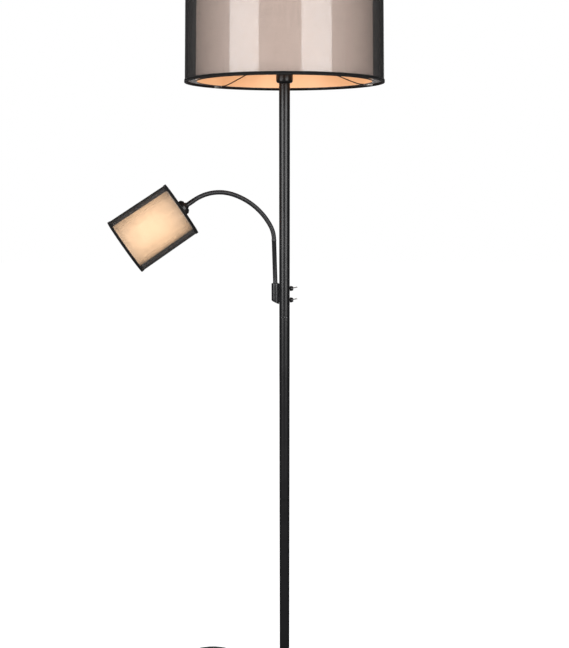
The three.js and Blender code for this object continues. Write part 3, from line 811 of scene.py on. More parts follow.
def wound_sleeve():
    """Node group: a tube along a line of points, its skin wound like round wire; run is the distance
    along the whole neck, so the winding carries on from sleeve to sleeve."""
    group = bpy.data.node_groups.new("wound_sleeve", "GeometryNodeTree")
    keys = {"Path": socket_in(group, "Path", "NodeSocketGeometry")}
    group.interface.new_socket(name="Geometry", in_out="OUTPUT", socket_type="NodeSocketGeometry")
    keys.update({
        "Radius": socket_in(group, "Radius", "NodeSocketFloat", 0.005),
        "Pitch": socket_in(group, "Pitch", "NodeSocketFloat", 0.003),
        "Depth": socket_in(group, "Depth", "NodeSocketFloat", 0.0005),
        "Sides": socket_in(group, "Sides", "NodeSocketInt", 24),
        "Finish": socket_in(group, "Finish", "NodeSocketMaterial"),
    })
    given = group.nodes.new("NodeGroupInput").outputs
    line = group_node(group, "GeometryNodeMeshToCurve", None, {0: given["Path"]})
    upright = group_node(group, "GeometryNodeSetCurveNormal", None, {"Curve": line.outputs[0]})
    if "Mode" in upright.inputs:
        upright.inputs["Mode"].default_value = "Z Up"
    else:
        upright.mode = "Z_UP"
    here = group.nodes.new("GeometryNodeInputPosition")
    middle = group_node(group, "GeometryNodeStoreNamedAttribute", {
        "data_type": "FLOAT_VECTOR", "domain": "POINT"}, {
        "Geometry": upright.outputs[0], "Name": "middle", "Value": here.outputs[0]})
    circle = group_node(group, "GeometryNodeCurvePrimitiveCircle", {"mode": "RADIUS"}, {
        "Resolution": given["Sides"], "Radius": given["Radius"]})
    share = group.nodes.new("GeometryNodeSplineParameter")
    marked = group_node(group, "GeometryNodeStoreNamedAttribute", {
        "data_type": "FLOAT", "domain": "POINT"}, {
        "Geometry": circle.outputs[0], "Name": "turn", "Value": share.outputs[0]})
    skin = group_node(group, "GeometryNodeCurveToMesh", None, {
        "Curve": middle.outputs[0], "Profile Curve": marked.outputs[0], "Fill Caps": True})
    run = group_node(group, "GeometryNodeInputNamedAttribute", {"data_type": "FLOAT"}, {"Name": "run"})
    turn = group_node(group, "GeometryNodeInputNamedAttribute", {"data_type": "FLOAT"}, {"Name": "turn"})
    core = group_node(group, "GeometryNodeInputNamedAttribute", {"data_type": "FLOAT_VECTOR"}, {
        "Name": "middle"})
    turns = group_node(group, "ShaderNodeMath", {"operation": "DIVIDE"}, {
        0: run.outputs[0], 1: given["Pitch"]})
    phase = group_node(group, "ShaderNodeMath", {"operation": "SUBTRACT"}, {
        0: turns.outputs[0], 1: turn.outputs[0]})
    swing = group_node(group, "ShaderNodeMath", {"operation": "MULTIPLY"}, {0: phase.outputs[0], 1: math.pi})
    wave = group_node(group, "ShaderNodeMath", {"operation": "SINE"}, {0: swing.outputs[0]})
    round_wire = group_node(group, "ShaderNodeMath", {"operation": "ABSOLUTE"}, {0: wave.outputs[0]})
    low = group_node(group, "ShaderNodeMath", {"operation": "SUBTRACT"}, {0: round_wire.outputs[0], 1: 1.0})
    sink = group_node(group, "ShaderNodeMath", {"operation": "MULTIPLY"}, {
        0: low.outputs[0], 1: given["Depth"]})
    away = group_node(group, "ShaderNodeVectorMath", {"operation": "SUBTRACT"}, {
        0: here.outputs[0], 1: core.outputs[0]})
    outward = group_node(group, "ShaderNodeVectorMath", {"operation": "NORMALIZE"}, {0: away.outputs[0]})
    shift = group_node(group, "ShaderNodeVectorMath", {"operation": "SCALE"}, {
        0: outward.outputs[0], "Scale": sink.outputs[0]})
    wound = group_node(group, "GeometryNodeSetPosition", None, {
        "Geometry": skin.outputs[0], "Offset": shift.outputs[0]})
    soft = group_node(group, "GeometryNodeSetShadeSmooth", None, {"Geometry": wound.outputs[0]})
    solid = group_node(group, "GeometryNodeRealizeInstances", None, {0: soft.outputs[0]})
    coated = group_node(group, "GeometryNodeSetMaterial", None, {
        "Geometry": solid.outputs[0], "Material": given["Finish"]})
    out = group.nodes.new("NodeGroupOutput")
    wire(group, coated.outputs[0], out.inputs[0])
    return group, keys


groups = {}


def grown(name, maker, values, base=None, place=None):
    """Runs a node group once on a base mesh and keeps the plain mesh that it makes."""
    if maker not in groups:
        groups[maker] = maker()
    group, keys = groups[maker]
    seed = linked(name + "_seed", base or bpy.data.meshes.new(name + "_seed"))
    modifier = seed.modifiers.new("grow", "NODES")
    modifier.node_group = group
    for key, value in values.items():
        modifier[keys[key]] = value
    depth = bpy.context.evaluated_depsgraph_get()
    mesh = bpy.data.meshes.new_from_object(seed.evaluated_get(depth))
    seed.modifiers.remove(modifier)
    bpy.data.objects.remove(seed)
    mesh.name = name
    if not mesh.materials:
        mesh.materials.append(values["Finish"])
    tidy = bmesh.new()
    tidy.from_mesh(mesh)
    bmesh.ops.recalc_face_normals(tidy, faces=tidy.faces)
    tidy.to_mesh(mesh)
    tidy.free()
    for spare in ("middle", "turn", "run"):
        if spare in mesh.attributes:
            mesh.attributes.remove(mesh.attributes[spare])
    if place is not None:
        mesh.transform(place)
    mesh.polygons.foreach_set("use_smooth", [True] * len(mesh.polygons))
    return linked(name, mesh)


# ---------------------------------------------------------------- stage


def make_stage():
    stage = bpy.context.scene.lamp_stage
    scene = bpy.context.scene
    lens = bpy.data.cameras.new("camera")
    lens.lens = 48.49
    lens.sensor_width = 36.0
    camera = bpy.data.objects.new("camera", lens)
    camera.location = (0.0, -stage.camera_distance, stage.camera_height)
    camera.rotation_euler = (math.radians(79.1), 0.0, 0.0)
    scene.collection.objects.link(camera)
    scene.camera = camera
    scene.view_settings.view_transform = "Standard"

    def panel_light(name, azimuth, distance, width, height, middle, power):
        light = bpy.data.lights.new(name, "AREA")
        light.shape = "RECTANGLE"
        light.size = width
        light.size_y = height
        light.energy = power
        lamp = bpy.data.objects.new(name, light)
        angle = math.radians(azimuth)
        lamp.location = (math.sin(angle) * distance, -math.cos(angle) * distance, middle)
        lamp.rotation_euler = (math.radians(90.0), 0.0, angle)
        lamp.visible_camera = False
        scene.collection.objects.link(lamp)

    panel_light("softbox_left", -44.2, 2.6, 1.57, 2.2, 1.65, stage.softbox_power)
    panel_light("softbox_right", 34.7, 2.6, 1.58, 2.2, 1.65, stage.softbox_power)
    panel_light("fill_behind", 178.0, 3.2, 2.2, 2.0, 1.3, stage.fill_power)

    world = bpy.data.worlds.new("room")
    world.use_nodes = True
    scene.world = world
    tree = world.node_tree
    tree.nodes.clear()
    ray = tree.nodes.new("ShaderNodeLightPath")
    seen = tree.nodes.new("ShaderNodeBackground")
    seen.inputs["Color"].default_value = (1.0, 1.0, 1.0, 1.0)
    lit = tree.nodes.new("ShaderNodeBackground")
    lit.inputs["Color"].default_value = (1.0, 1.0, 1.0, 1.0)
    lit.inputs["Strength"].default_value = stage.room_light
    mix = tree.nodes.new("ShaderNodeMixShader")
    out = tree.nodes.new("ShaderNodeOutputWorld")
    tree.links.new(ray.outputs["Is Camera Ray"], mix.inputs[0])
    tree.links.new(lit.outputs[0], mix.inputs[1])
    tree.links.new(seen.outputs[0], mix.inputs[2])
    tree.links.new(mix.outputs[0], out.inputs[0])

    paper = bpy.data.materials.new("pale_floor")
    paper.use_nodes = True
    tree = paper.node_tree
    sheet = tree.nodes["Principled BSDF"]
    sheet.inputs["Base Color"].default_value = (0.45, 0.45, 0.45, 1.0)
    sheet.inputs["Roughness"].default_value = 0.9
    sheet.inputs["Specular IOR Level"].default_value = 0.1
    sheet.inputs["Emission Color"].default_value = (1.0, 1.0, 1.0, 1.0)
    sheet.inputs["Emission Strength"].default_value = 1.0
    dim = tree.nodes.new("ShaderNodeBsdfDiffuse")
    dim.inputs["Color"].default_value = (0.16, 0.16, 0.16, 1.0)
    ray = tree.nodes.new("ShaderNodeLightPath")
    mix = tree.nodes.new("ShaderNodeMixShader")
    tree.links.new(ray.outputs["Is Camera Ray"], mix.inputs[0])
    tree.links.new(dim.outputs[0], mix.inputs[1])
    tree.links.new(sheet.outputs[0], mix.inputs[2])
    tree.links.new(mix.outputs[0], tree.nodes["Material Output"].inputs[0])
    mesh = bpy.data.meshes.new("floor")
    half = 9.0
    corners = [(-half, -half, 0), (half, -half, 0), (half, half, 0), (-half, half, 0)]
    mesh.from_pydata(corners, [], [(0, 1, 2, 3)])
    mesh.materials.append(paper)
    linked("floor", mesh)


# ---------------------------------------------------------------- mains cord, its relief, plug and tie

CORD_AZIMUTH = math.radians(135.0)
COIL_MIDDLE = (-253.0, 57.0)
CORD_ROUTE = [
    (-106.3, 106.3, 5.1), (-113, 113, 4.2), (-120, 120, 3.4), (-127.3, 127.7, 3.1), (-137.2, 136.3, 3.1),
    (-148, 143.6, 3.1), (-159.8, 149.4, 3.1), (-172.1, 153.6, 3.1), (-185, 156.2, 3.1), (-198, 157, 3.1),
    (-211, 156.2, 3.1), (-223.9, 153.6, 3.1), (-236.2, 149.4, 3.1), (-248, 143.6, 3.1), (-258.9, 136.3, 3.1),
    (-268.7, 127.7, 3.1), (-277.4, 117.9, 3.1), (-284.6, 107, 3.1), (-290.6, 95.1, 3.1), (-294.3, 76, 3.1),
]
TAIL_ROUTE = [
    (-294.6, 35, 15.0), (-294.2, 26, 12.3), (-294.1, 18, 8.4), (-294.2, 9, 5.0), (-294.0, -1, 3.3),
    (-293.2, -12, 3.1), (-292.2, -22, 3.5), (-290.8, -32, 4.8), (-288.6, -42, 6.4),
]


def coil_turns():
    """Three turns on the floor from the outside in, three on them from the inside out, and a last
    part turn on top; the cord moves over and climbs where its neighbours leave room."""
    outer, middle, inner = 42.2, 36.1, 30.0
    low, mid, top = 3.1, 9.15, 15.2
    moves = [  # turn and degrees where it starts, degrees it takes, new radius, new height
        (0, 290, 65, middle, low), (1, 290, 65, inner, low), (2, 190, 95, inner, mid),
        (3, 120, 65, middle, mid), (4, 120, 65, outer, mid), (5, 20, 100, outer, top),
        (5, 130, 60, 39.5, top), (5, 270, 80, 41.6, top),
    ]
    points = []
    radius, height = outer, low
    for step in range(0, 6 * 360 + 1, 10):
        for number, (turn, start, width, to_radius, to_height) in enumerate(moves):
            begin = turn * 360 + start
            if begin < step <= begin + width:
                from_radius = outer if number == 0 else moves[number - 1][3]
                from_height = low if number == 0 else moves[number - 1][4]
                share = ease((step - begin) / width)
                radius = from_radius + (to_radius - from_radius) * share
                height = from_height + (to_height - from_height) * share
            elif step > begin + width:
                radius, height = to_radius, to_height
        angle = math.pi + math.radians(step)
        points.append(spot(COIL_MIDDLE[0] + radius * math.cos(angle),
                           COIL_MIDDLE[1] + radius * math.sin(angle), height))
    return points


def make_cord():
    route = [spot(*point) for point in CORD_ROUTE] + coil_turns() + [spot(*point) for point in TAIL_ROUTE]
    path = smooth_line(route, 0.004)
    radius = sizes().cord_diameter / 2
    cord = Shape().tube(path, radius, 14).piece("cord_lead", "jacket")
    settle(cord, "stand", "cord", "mains_cord", "cord_coil", "plug_tail")

    out = Vector((math.cos(CORD_AZIMUTH), math.sin(CORD_AZIMUTH), 0.0))
    root = spot(0, 0, 5.2)
    stations = [(118.0, 3.6), (121.0, 3.6), (121.3, 4.7), (123.2, 4.8), (123.6, 4.4)]
    for rib in range(8):
        start = 124.4 + rib * 3.0
        taper = 4.4 - 0.9 * rib / 8
        stations += [(start, taper), (start + 1.5, taper - 0.04), (start + 1.7, taper - 0.62),
                     (start + 2.6, taper - 0.66)]
    stations += [(149.2, 3.55), (150.0, 3.3)]
    side = Vector((-out.y, out.x, 0.0))
    rings = [[root + out * stations[0][0] * MM]]
    for far, wide in stations:
        rings.append([root + out * far * MM + (side * math.cos(math.tau * k / 24)
                      + Vector((0, 0, 1)) * math.sin(math.tau * k / 24)) * wide * MM for k in range(24)])
    rings.append([root + out * stations[-1][0] * MM])
    relief = Shape().skin(rings).piece("cord_relief", "black_plastic")
    settle(relief, "stand", "black_plastic", "cord_strain_relief")

    heading = math.radians(283.0)
    ahead = Vector((math.cos(heading), math.sin(heading), 0.0))
    across = Vector((-ahead.y, ahead.x, 0.0))
    rear = spot(-287.6, -46.4, 7.2)
    body = Shape()
    rings = [[rear - ahead * 0.001]]
    profile = [(-1.0, 7.0, 6.4), (0.0, 11.0, 8.2), (2.0, 13.0, 9.0)]
    for ridge in range(5):
        start = 3.0 + ridge * 3.2
        grow = ridge / 4
        profile += [(start, 13.6 + 8 * grow, 9.4 + 2.6 * grow),
                    (start + 1.6, 14.0 + 8.6 * grow, 9.8 + 2.8 * grow),
                    (start + 1.9, 12.6 + 8.6 * grow, 8.6 + 2.8 * grow),
                    (start + 2.9, 12.8 + 8.6 * grow, 8.8 + 2.8 * grow)]
    profile += [(20.5, 24.6, 12.9), (24.0, 25.8, 13.5), (33.6, 26.0, 13.6), (34.7, 25.2, 12.9),
                (35.0, 24.0, 12.0)]
    for far, wide, thick in profile:
        ring = []
        for k in range(32):
            angle = math.tau * k / 32
            c, s = math.cos(angle), math.sin(angle)
            ring.append(rear + (ahead * far + across * (math.copysign(abs(c) ** 0.6, c) * wide / 2)
                                + Vector((0, 0, 1)) * (math.copysign(abs(s) ** 0.6, s) * thick / 2)) * MM)
        rings.append(ring)
    rings.append([rear + ahead * 0.035])
    plug = body.skin(rings).piece("plug_grip", "black_plastic")
    settle(plug, "stand", "black_plastic", "plug_body")

    def pin_radius(share):
        """Radius of a plug pin, in metres, drawn in over its last quarter."""
        return 2.0 * MM * (1.0 if share < 0.76 else 1.0 - (share - 0.76) ** 2 * 9)

    for number, offset in ((1, -9.5), (2, 9.5)):
        start = rear + ahead * 0.0345 + across * offset * MM
        pin = Shape().tube([start + ahead * far * MM for far in (0, 4, 8, 12, 16, 17.6, 18.6, 19.2, 19.5)],
                           pin_radius, 20)
        pin = pin.piece(f"plug_prong_{number}", "nickel")
        settle(pin, "stand", "nickel", f"plug_pin_{number}")

    tie_angle = math.radians(-62.0)
    rings = []
    band = [(26.4, 0.2), (45.9, 0.2), (46.1, 12.6), (43.6, 18.6), (28.4, 18.6), (26.2, 12.6)]
    outline = rounded(band, 3.2, 5)
    for turn_by in (-0.052, -0.045, 0.045, 0.052):
        angle = tie_angle + turn_by
        rings.append([spot(*COIL_MIDDLE, 0) + polar(far * MM, angle, high * MM) for far, high in outline])
    inner = [ring_in(ring) for ring in rings]
    tie = Shape()
    tie.skin(rings + inner[::-1], True)
    tie = tie.piece("coil_tie", "black_plastic")
    settle(tie, "stand", "black_plastic")


def ring_in(ring):
    """The same ring pulled in by the tie's thickness."""
    middle = sum(ring, Vector()) / len(ring)
    return [point + (middle - point).normalized() * 0.0006 for point in ring]


# ---------------------------------------------------------------- base, pole, switches and arm


def dome(radius):
    """Height of the cover's top, in millimetres, at a distance from the pole's axis."""
    return 11.0 + 14.0 * (1.0 - ((radius - 24.0) / 101.0) ** 2)


def make_base():
    steps = 26
    top = [(125.0 - 101.0 * k / steps, dome(125.0 - 101.0 * k / steps)) for k in range(steps + 1)]
    rim = [(125.0 + 3.0 * math.sin(a), 8.0 + 3.0 * math.cos(a))
           for a in (math.radians(d) for d in (90, 72, 54, 36, 18))]
    under = [(max(radius - 0.9, 5.4), height - 1.2) for radius, height in top]
    outline = ([(126.8, 1.3), (127.1, 1.0), (127.7, 1.0), (128.0, 1.3)] + rim + top
               + [(14.0, 25.0), (5.3, 25.0)]
               + [(5.3, 23.8)] + under[::-1] + [(126.8, 7.5)])
    cover = Shape().turned(outline, 160, True).piece("base_shell", "satin_black", crease=30.0)
    notch = bpy.data.meshes.new("notch")
    box = bmesh.new()
    bmesh.ops.create_cube(box, size=1.0)
    box.to_mesh(notch)
    box.free()
    notch.transform(Matrix.Rotation(CORD_AZIMUTH, 4, "Z") @ Matrix.Translation(spot(128, 0, 4.9))
                    @ Matrix.Diagonal((0.03, 0.0096, 0.0099, 1.0)))
    cutter = linked("notch", notch)
    cut = cover.modifiers.new("notch", "BOOLEAN")
    cut.operation = "DIFFERENCE"
    cut.solver = "EXACT"
    cut.object = cutter
    bpy.context.view_layer.update()
    depth = bpy.context.evaluated_depsgraph_get()
    carved = bpy.data.meshes.new_from_object(cover.evaluated_get(depth))
    cover.modifiers.clear()
    cover.data = carved
    bpy.data.objects.remove(cutter)
    settle(cover, "stand", "black_metal", "base_cover")

    pad = Shape().turned([(0, 0), (120.4, 0), (121.0, 0.5), (121.0, 2.1), (120.6, 2.5), (0, 2.5)], 128)
    for radius in (96.0, 72.0):
        ridge = [(radius, 0.0), (radius + 2.0, 0.0), (radius + 2.0, 0.6), (radius, 0.6)]
        pad.turned(rounded(ridge, 0.3, 2), 96, True)
    settle(pad.piece("base_foam", "foam"), "stand", "pad", "base_pad")

    collar = Shape().turned(rounded([
        (5.3, 25.3), (21.0, 25.3), (21.0, 29.2), (18.4, 31.9), (16.0, 33.3), (5.3, 33.3)], 0.8), 96, True)
    settle(collar.piece("pole_collar", "satin_black"), "stand", "black_metal", "foot_collar")


def make_pole():
    for name, low, high in (("pole_lower", 33.6, 504.75), ("pole_middle", 505.25, 962.75),
                            ("pole_upper", 963.25, 1499.7)):
        rise = high - low
        rows = [low + 0.5 + (rise - 1.0) * k / 40 for k in range(41)]
        outline = [(11.0, low), (12.0, low)] + [(12.5, row) for row in rows] + [(12.0, high), (11.0, high)]
        tube = Shape().turned(outline, 64, True)
        settle(tube.piece(f"{name}_tube", "satin_black"), "stand", "black_metal", name)


def make_switches():
    for name, height in (("main", 1030.5), ("reading", 1003.0)):
        place = along_x(0.0, 0.0, height)
        nut = Shape().turned(rounded([
            (3.4, 12.9), (6.0, 12.8), (6.0, 16.6), (5.1, 19.4), (4.3, 20.7), (3.4, 21.0)], 0.7), 48, True)
        nut.turned(rounded([(5.6, 13.0), (6.0, 13.0), (6.0, 13.9), (5.6, 13.9)], 0.2, 2), 48, True)
        nut = nut.piece(f"{name}_toggle_nut", "satin_black", place)
        settle(nut, "stand", "black_metal", f"{name}_switch_nut")
        ridges = grown(f"{name}_toggle_knurl", beads_round, {
            "Count": 22, "Radius": 0.00575, "Height": 0.0151, "Bead": (0.0005, 0.0009, 0.0024),
            "Uneven": 0.0, "Seed": 2, "Finish": finish("satin_black")}, place=place)
        settle(ridges, "stand", "black_metal")
        lever = Shape().turned([
            (0, -2.2), (1.5, -1.7), (2.2, -0.6), (2.3, 0.4), (1.8, 1.6), (1.15, 2.4), (1.05, 3.4),
            (1.07, 7.0),
            (1.16, 10.0), (1.3, 13.0), (1.44, 14.6), (1.36, 15.4), (0.9, 15.9), (0, 16.0)], 32)
        lever = lever.piece(f"{name}_toggle_lever", "nickel", along_x(15.0, 0.0, height, 12.0))
        settle(lever, f"{name}_switch_lever", "nickel", f"{name}_switch_lever")


def make_arm():
    axis = -21.8

    def mitre(x):
        return 993.0 + math.tan(math.radians(27.0)) * (-12.5 - x)

    def ring(radius, height=None, drop=0.0):
        points = []
        for k in range(48):
            angle = math.tau * k / 48
            x, y = axis + radius * math.cos(angle), radius * math.sin(angle)
            points.append(spot(x, y, mitre(x) + drop if height is None else height))
        return points

    rings = [ring(7.1), ring(8.6), ring(9.0, None, 0.5)]
    rings += [ring(9.0, height) for height in (1006.0, 1014.0, 1022.0, 1030.0, 1038.0, 1042.2)]
    rings += [ring(8.8, 1042.8), ring(8.3, 1043.0), ring(5.7, 1043.0), ring(5.7, 1035.0), ring(7.0, 1034.0),
              ring(7.0, 1020.0), ring(7.0, 1006.0)]
    bracket = Shape().skin(rings, True)
    settle(bracket.piece("arm_socket", "satin_black"), "stand", "black_metal", "arm_bracket")
    for side, y in (("front", -3.3), ("rear", 3.3)):
        path = [spot(-12.75, y, 998.0 + 43.0 * k / 90) for k in range(91)]
        bead = Shape().tube(path, lambda share: (0.85 + 0.22 * abs(math.sin(share * 62.0))) * MM, 10)
        settle(bead.piece(f"arm_weld_{side}", "satin_black"), "stand", "black_metal")

    lean = math.radians(1.6)
    place = Matrix.Translation(spot(axis, 0, 1043)) @ Matrix.Rotation(-lean, 4, "Y")
    tube = Shape().turned([(0, -14.0), (4.3, -14.0), (4.6, -13.6), (4.6, 0.05), (5.3, 0.1), (5.3, 99.0),
                           (5.5, 99.4), (5.6, 100.0), (5.6, 102.6), (5.5, 103.6), (5.3, 104.4), (0, 104.5)], 48)
    settle(tube.piece("arm_rod", "satin_black", place), "stand", "black_metal", "arm_tube")


# ---------------------------------------------------------------- flexible neck

NECK_START = (-24.726, 1147.76)
NECK_HEADING = 91.6
NECK_TURN_DEGREES = 11.3  # the neck stands turned this far to the front
NECK_RADIUS = 0.0053
NECK_STEP = 0.3  # millimetres of neck between two points of its line
NECK_TURN = Matrix.Rotation(math.radians(NECK_TURN_DEGREES), 4, "Z")
NECK_UPRIGHT = Matrix.Translation((NECK_START[0] * MM, 0.0, 0.0))
TURN_TO_FRONT = NECK_UPRIGHT @ NECK_TURN @ NECK_UPRIGHT.inverted()
NECK_ARCS = ((26.5, 68.0), (43.5, 154.0), (51.7, 103.0))
NECK_LENGTH = sum(math.radians(turn) * radius for turn, radius in NECK_ARCS)


def neck_at(run):
    """Point on the neck's axis, in metres, at a distance along it in millimetres."""
    x, z = NECK_START
    heading = math.radians(NECK_HEADING)
    for number, (turn, radius) in enumerate(NECK_ARCS):
        length = math.radians(turn) * radius
        last = number == len(NECK_ARCS) - 1
        part = run if last else min(run, length)
        swung = heading + part / radius
        x += radius * (math.sin(swung) - math.sin(heading))
        z += radius * (math.cos(heading) - math.cos(swung))
        heading = swung
        run -= part
        if run <= 0:
            break
    return TURN_TO_FRONT @ spot(x, 0, z)


def make_neck():
    part = NECK_LENGTH / 8
    for k in range(9):
        start = max(0.0, (k - 0.5) * part)
        end = min(NECK_LENGTH, (k + 0.5) * part)
        count = round((end - start) / NECK_STEP)
        runs = [start + (end - start) * n / count for n in range(count + 1)]
        line = bpy.data.meshes.new(f"line_{k}")
        line.from_pydata([neck_at(run) for run in runs], [(n, n + 1) for n in range(count)], [])
        line.attributes.new("run", "FLOAT", "POINT").data.foreach_set("value", [run * MM for run in runs])
        values = {"Radius": NECK_RADIUS, "Pitch": sizes().winding_pitch, "Depth": sizes().winding_depth,
                  "Sides": 28, "Finish": finish("neck_wire")}
        sleeve = grown(f"neck_sleeve_{k}", wound_sleeve, values, line)
        joint = k * part
        low = joint if k == 0 else joint - (10.0 if k == 8 else 12.0)
        high = joint if k == 8 else joint + (10.0 if k == 0 else 12.0)
        if k:
            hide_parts(f"neck_segment_{k}")
        neck_at(low)
        neck_at(high)
        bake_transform(sleeve)


# ---------------------------------------------------------------- the two lamps

MAIN_PLACE = Matrix.Translation((0.0, 0.0, 1.5))
READING_PLACE = TURN_TO_FRONT @ Matrix(((-0.549, 0.0, -0.8358, -0.237933), (0.0, 1.0, 0.0, 0.0),
                                        (0.8358, 0.0, -0.549, 1.220838), (0.0, 0.0, 0.0, 1.0)))
LAMPS = {
    "main": {
        "body": "stand", "place": MAIN_PLACE, "height": 220.0, "outer": (225.0, 219.0), "gap": 25.0,
        "flange": (19.0, 40.3), "holder": (17.2, 62.6, 13.9), "plate": (42.6, 44.1, 17.5, 26.5),
        "ring": (44.4, 51.4, 17.5, 25.5), "cap": (13.1, 38.6, 64.6), "ball": (30.0, 113.6), "sides": 192,
    },
    "reading": {
        "body": "reading_head", "place": READING_PLACE, "height": 157.0, "outer": (64.8, 66.4), "gap": 13.0,
        "flange": (17.0, 24.3), "holder": (13.8, 38.6, 7.6), "plate": (26.6, 28.1, 14.1, 23.1),
        "ring": (28.4, 35.4, 14.1, 22.1), "cap": (7.0, 20.6, 40.6), "ball": (22.5, 74.1), "sides": 128,
    },
}
ARM_AZIMUTHS = (20.0, 140.0, 260.0)


def drum_radius(lamp, height):
    """Outside radius of a lamp's outer drum at a height, in millimetres."""
    low, high = lamp["outer"]
    return low + (high - low) * height / lamp["height"]


def make_holders():
    reading = LAMPS["reading"]["place"]
    ferrule = Shape().turned(rounded([
        (0.6, -34.3), (5.2, -34.3), (5.4, -33.6), (5.4, -15.5), (6.6, -14.6), (7.0, -13.4), (7.0, -12.2),
        (0.6, -12.2)], 0.35, 2), 48, True)
    ferrule = ferrule.piece("neck_ferrule", "satin_black", reading)
    settle(ferrule, "reading_head", "black_metal", "neck_end_ferrule")
    cups = {
        "main": [(5.3, 0.0), (13.0, 0.0), (15.3, 0.45), (17.2, 1.8), (18.5, 3.7), (19.0, 6.0), (19.0, 39.2),
                 (18.7, 39.9), (17.9, 40.0), (17.8, 39.6), (17.8, 6.4), (16.6, 3.2), (13.2, 1.3), (5.3, 1.3)],
        "reading": [(3.2, -12.0), (11.6, -12.0), (12.2, -11.8), (16.7, -7.3), (17.0, -6.5), (17.0, 23.4),
                    (16.7, 24.0), (16.0, 24.0), (15.8, 23.6), (15.8, -6.0), (11.6, -10.6), (3.2, -10.8)],
    }
    for name, lamp in LAMPS.items():
        place, body = lamp["place"], lamp["body"]
        cup = Shape().turned(cups[name], 96, True)
        settle(cup.piece(f"{name}_holder_cup", "satin_black", place), body, "black_metal", f"{name}_cup")

        flange_radius, low = lamp["flange"]
        radius, top, socket = lamp["holder"]
        outline = [(socket, low), (flange_radius - 0.4, low), (flange_radius, low + 0.4),
                   (flange_radius, low + 1.7), (flange_radius - 0.3, low + 2.0), (radius, low + 2.0)]
        height = low + 3.0
        while height < top - 2.4:
            outline += [(radius - 0.5, height), (radius - 0.1, height + 0.5), (radius - 0.1, height + 0.9),
                        (radius - 0.5, height + 1.5)]
            height += 2.0
        outline += [(radius - 0.3, top - 1.2), (radius - 0.8, top), (socket + 0.4, top), (socket, top - 0.5)]
        holder = Shape().turned(outline, 72, True)
        holder = holder.piece(f"{name}_holder_shell", "phenolic", place)
        settle(holder, body, "phenolic", f"{name}_lampholder")

        low, top, inside, outside = lamp["ring"]
        ring = Shape().turned(rounded([(inside, low), (outside - 0.7, low), (outside - 0.7, top - 0.6),
                                       (outside - 2.2, top), (inside, top)], 0.5, 3), 72, True)
        settle(ring.piece(f"{name}_screw_ring", "phenolic", place), body, "phenolic", f"{name}_clamp_ring")
        ribs = grown(f"{name}_screw_ring_ribs", beads_round, {
            "Count": 36, "Radius": (outside - 0.75) * MM, "Height": (low + top) / 2 * MM,
            "Bead": (0.0015, 0.0024, 0.0066), "Uneven": 0.0, "Seed": 3, "Finish": finish("phenolic")},
            place=place)
        settle(ribs, body, "phenolic")

        radius, low, top = lamp["cap"]
        outline = [(0, low), (radius * 0.32, low), (radius * 0.42, low + 1.6), (radius * 0.86, low + 2.4)]
        height = low + 3.0
        while height < top - 5.0:
            outline += [(radius - 0.9, height), (radius - 0.15, height + 0.8), (radius, height + 1.3),
                        (radius - 0.15, height + 1.8), (radius - 0.9, height + 2.6)]
            height += 3.0
        outline += [(radius - 0.5, height), (radius - 0.2, height + 0.6), (radius - 0.1, top), (0, top)]
        cap = Shape().turned(outline, 64)
        settle(cap.piece(f"{name}_bulb_screw", "brass", place), body, "brass", f"{name}_bulb_cap")

        ball, middle = lamp["ball"]
        neck = radius - 0.7
        joined = neck * 1.35
        meet = middle - math.sqrt(ball * ball - joined * joined)
        start = math.asin((meet - middle) / ball)
        outline = [(0, top + 0.15), (neck - 0.4, top + 0.15), (neck, top + 0.8),
                   (neck + 0.1, top + (meet - top) * 0.55), (neck * 1.10, top + (meet - top) * 0.86)]
        for k in range(29):
            lift = start + (math.pi / 2 - start) * k / 28
            outline.append((0.0 if k == 28 else ball * math.cos(lift), middle + ball * math.sin(lift)))
        glass = Shape().turned(outline, 64)
        glass = glass.piece(f"{name}_bulb_opal", "opal", place, 60.0)
        settle(glass, body, "bulb_glass", f"{name}_bulb_glass")


def make_frames():
    wire, thin = 1.4, 1.26
    for name, lamp in LAMPS.items():
        for level in ("lower", "upper"):
            height = 2.8 if level == "lower" else lamp["height"] - 2.8
            outer = drum_radius(lamp, height) - 2.5
            inner = drum_radius(lamp, height) - lamp["gap"] - 0.4
            shape = Shape()
            shape.hoop(outer, height, wire, lamp["sides"], 1)
            shape.hoop(inner, height, wire, lamp["sides"], 1)
            for azimuth in ARM_AZIMUTHS:
                angle = math.radians(azimuth)
                bridge = [polar((inner + (outer - inner) * k / 6) * MM, angle, height * MM) for k in range(7)]
                shape.tube(bridge, thin * MM, 12)
                for radius in (inner, outer):
                    shape.blob(polar(radius * MM, angle, height * MM), (2.1, 2.1, 1.7))
            if level == "lower":
                low, top, inside, outside = lamp["plate"]
                plate = [(inside, low), (outside, low), (outside, top), (inside, top)]
                shape.turned(rounded(plate, 0.4, 2), 72, True, 1)
                middle = (low + top) / 2
                for azimuth in ARM_AZIMUTHS:
                    angle = math.radians(azimuth)
                    knee = outside + (inner - outside) * 0.16
                    points = [(outside - 0.4, middle), (knee, middle - 1.0),
                              (outside + (inner - outside) * 0.5, middle + (height - middle) * 0.42),
                              (inner - (inner - outside) * 0.14, height + 3.4), (inner - 0.2, height + 0.3)]
                    path = smooth_line([polar(far * MM, angle, up * MM) for far, up in points], 0.0015)
                    shape.tube(path, thin * MM, 12, slots=1)
                    shape.blob(polar((outside - 0.5) * MM, angle, middle * MM), (2.4, 2.4, 1.5), 1)
            frame_piece = shape.piece(f"{name}_{level}_wires", ("enamel", "satin_black"), lamp["place"])
            settle(frame_piece, lamp["body"], "white_wire", f"{name}_{level}_frame")


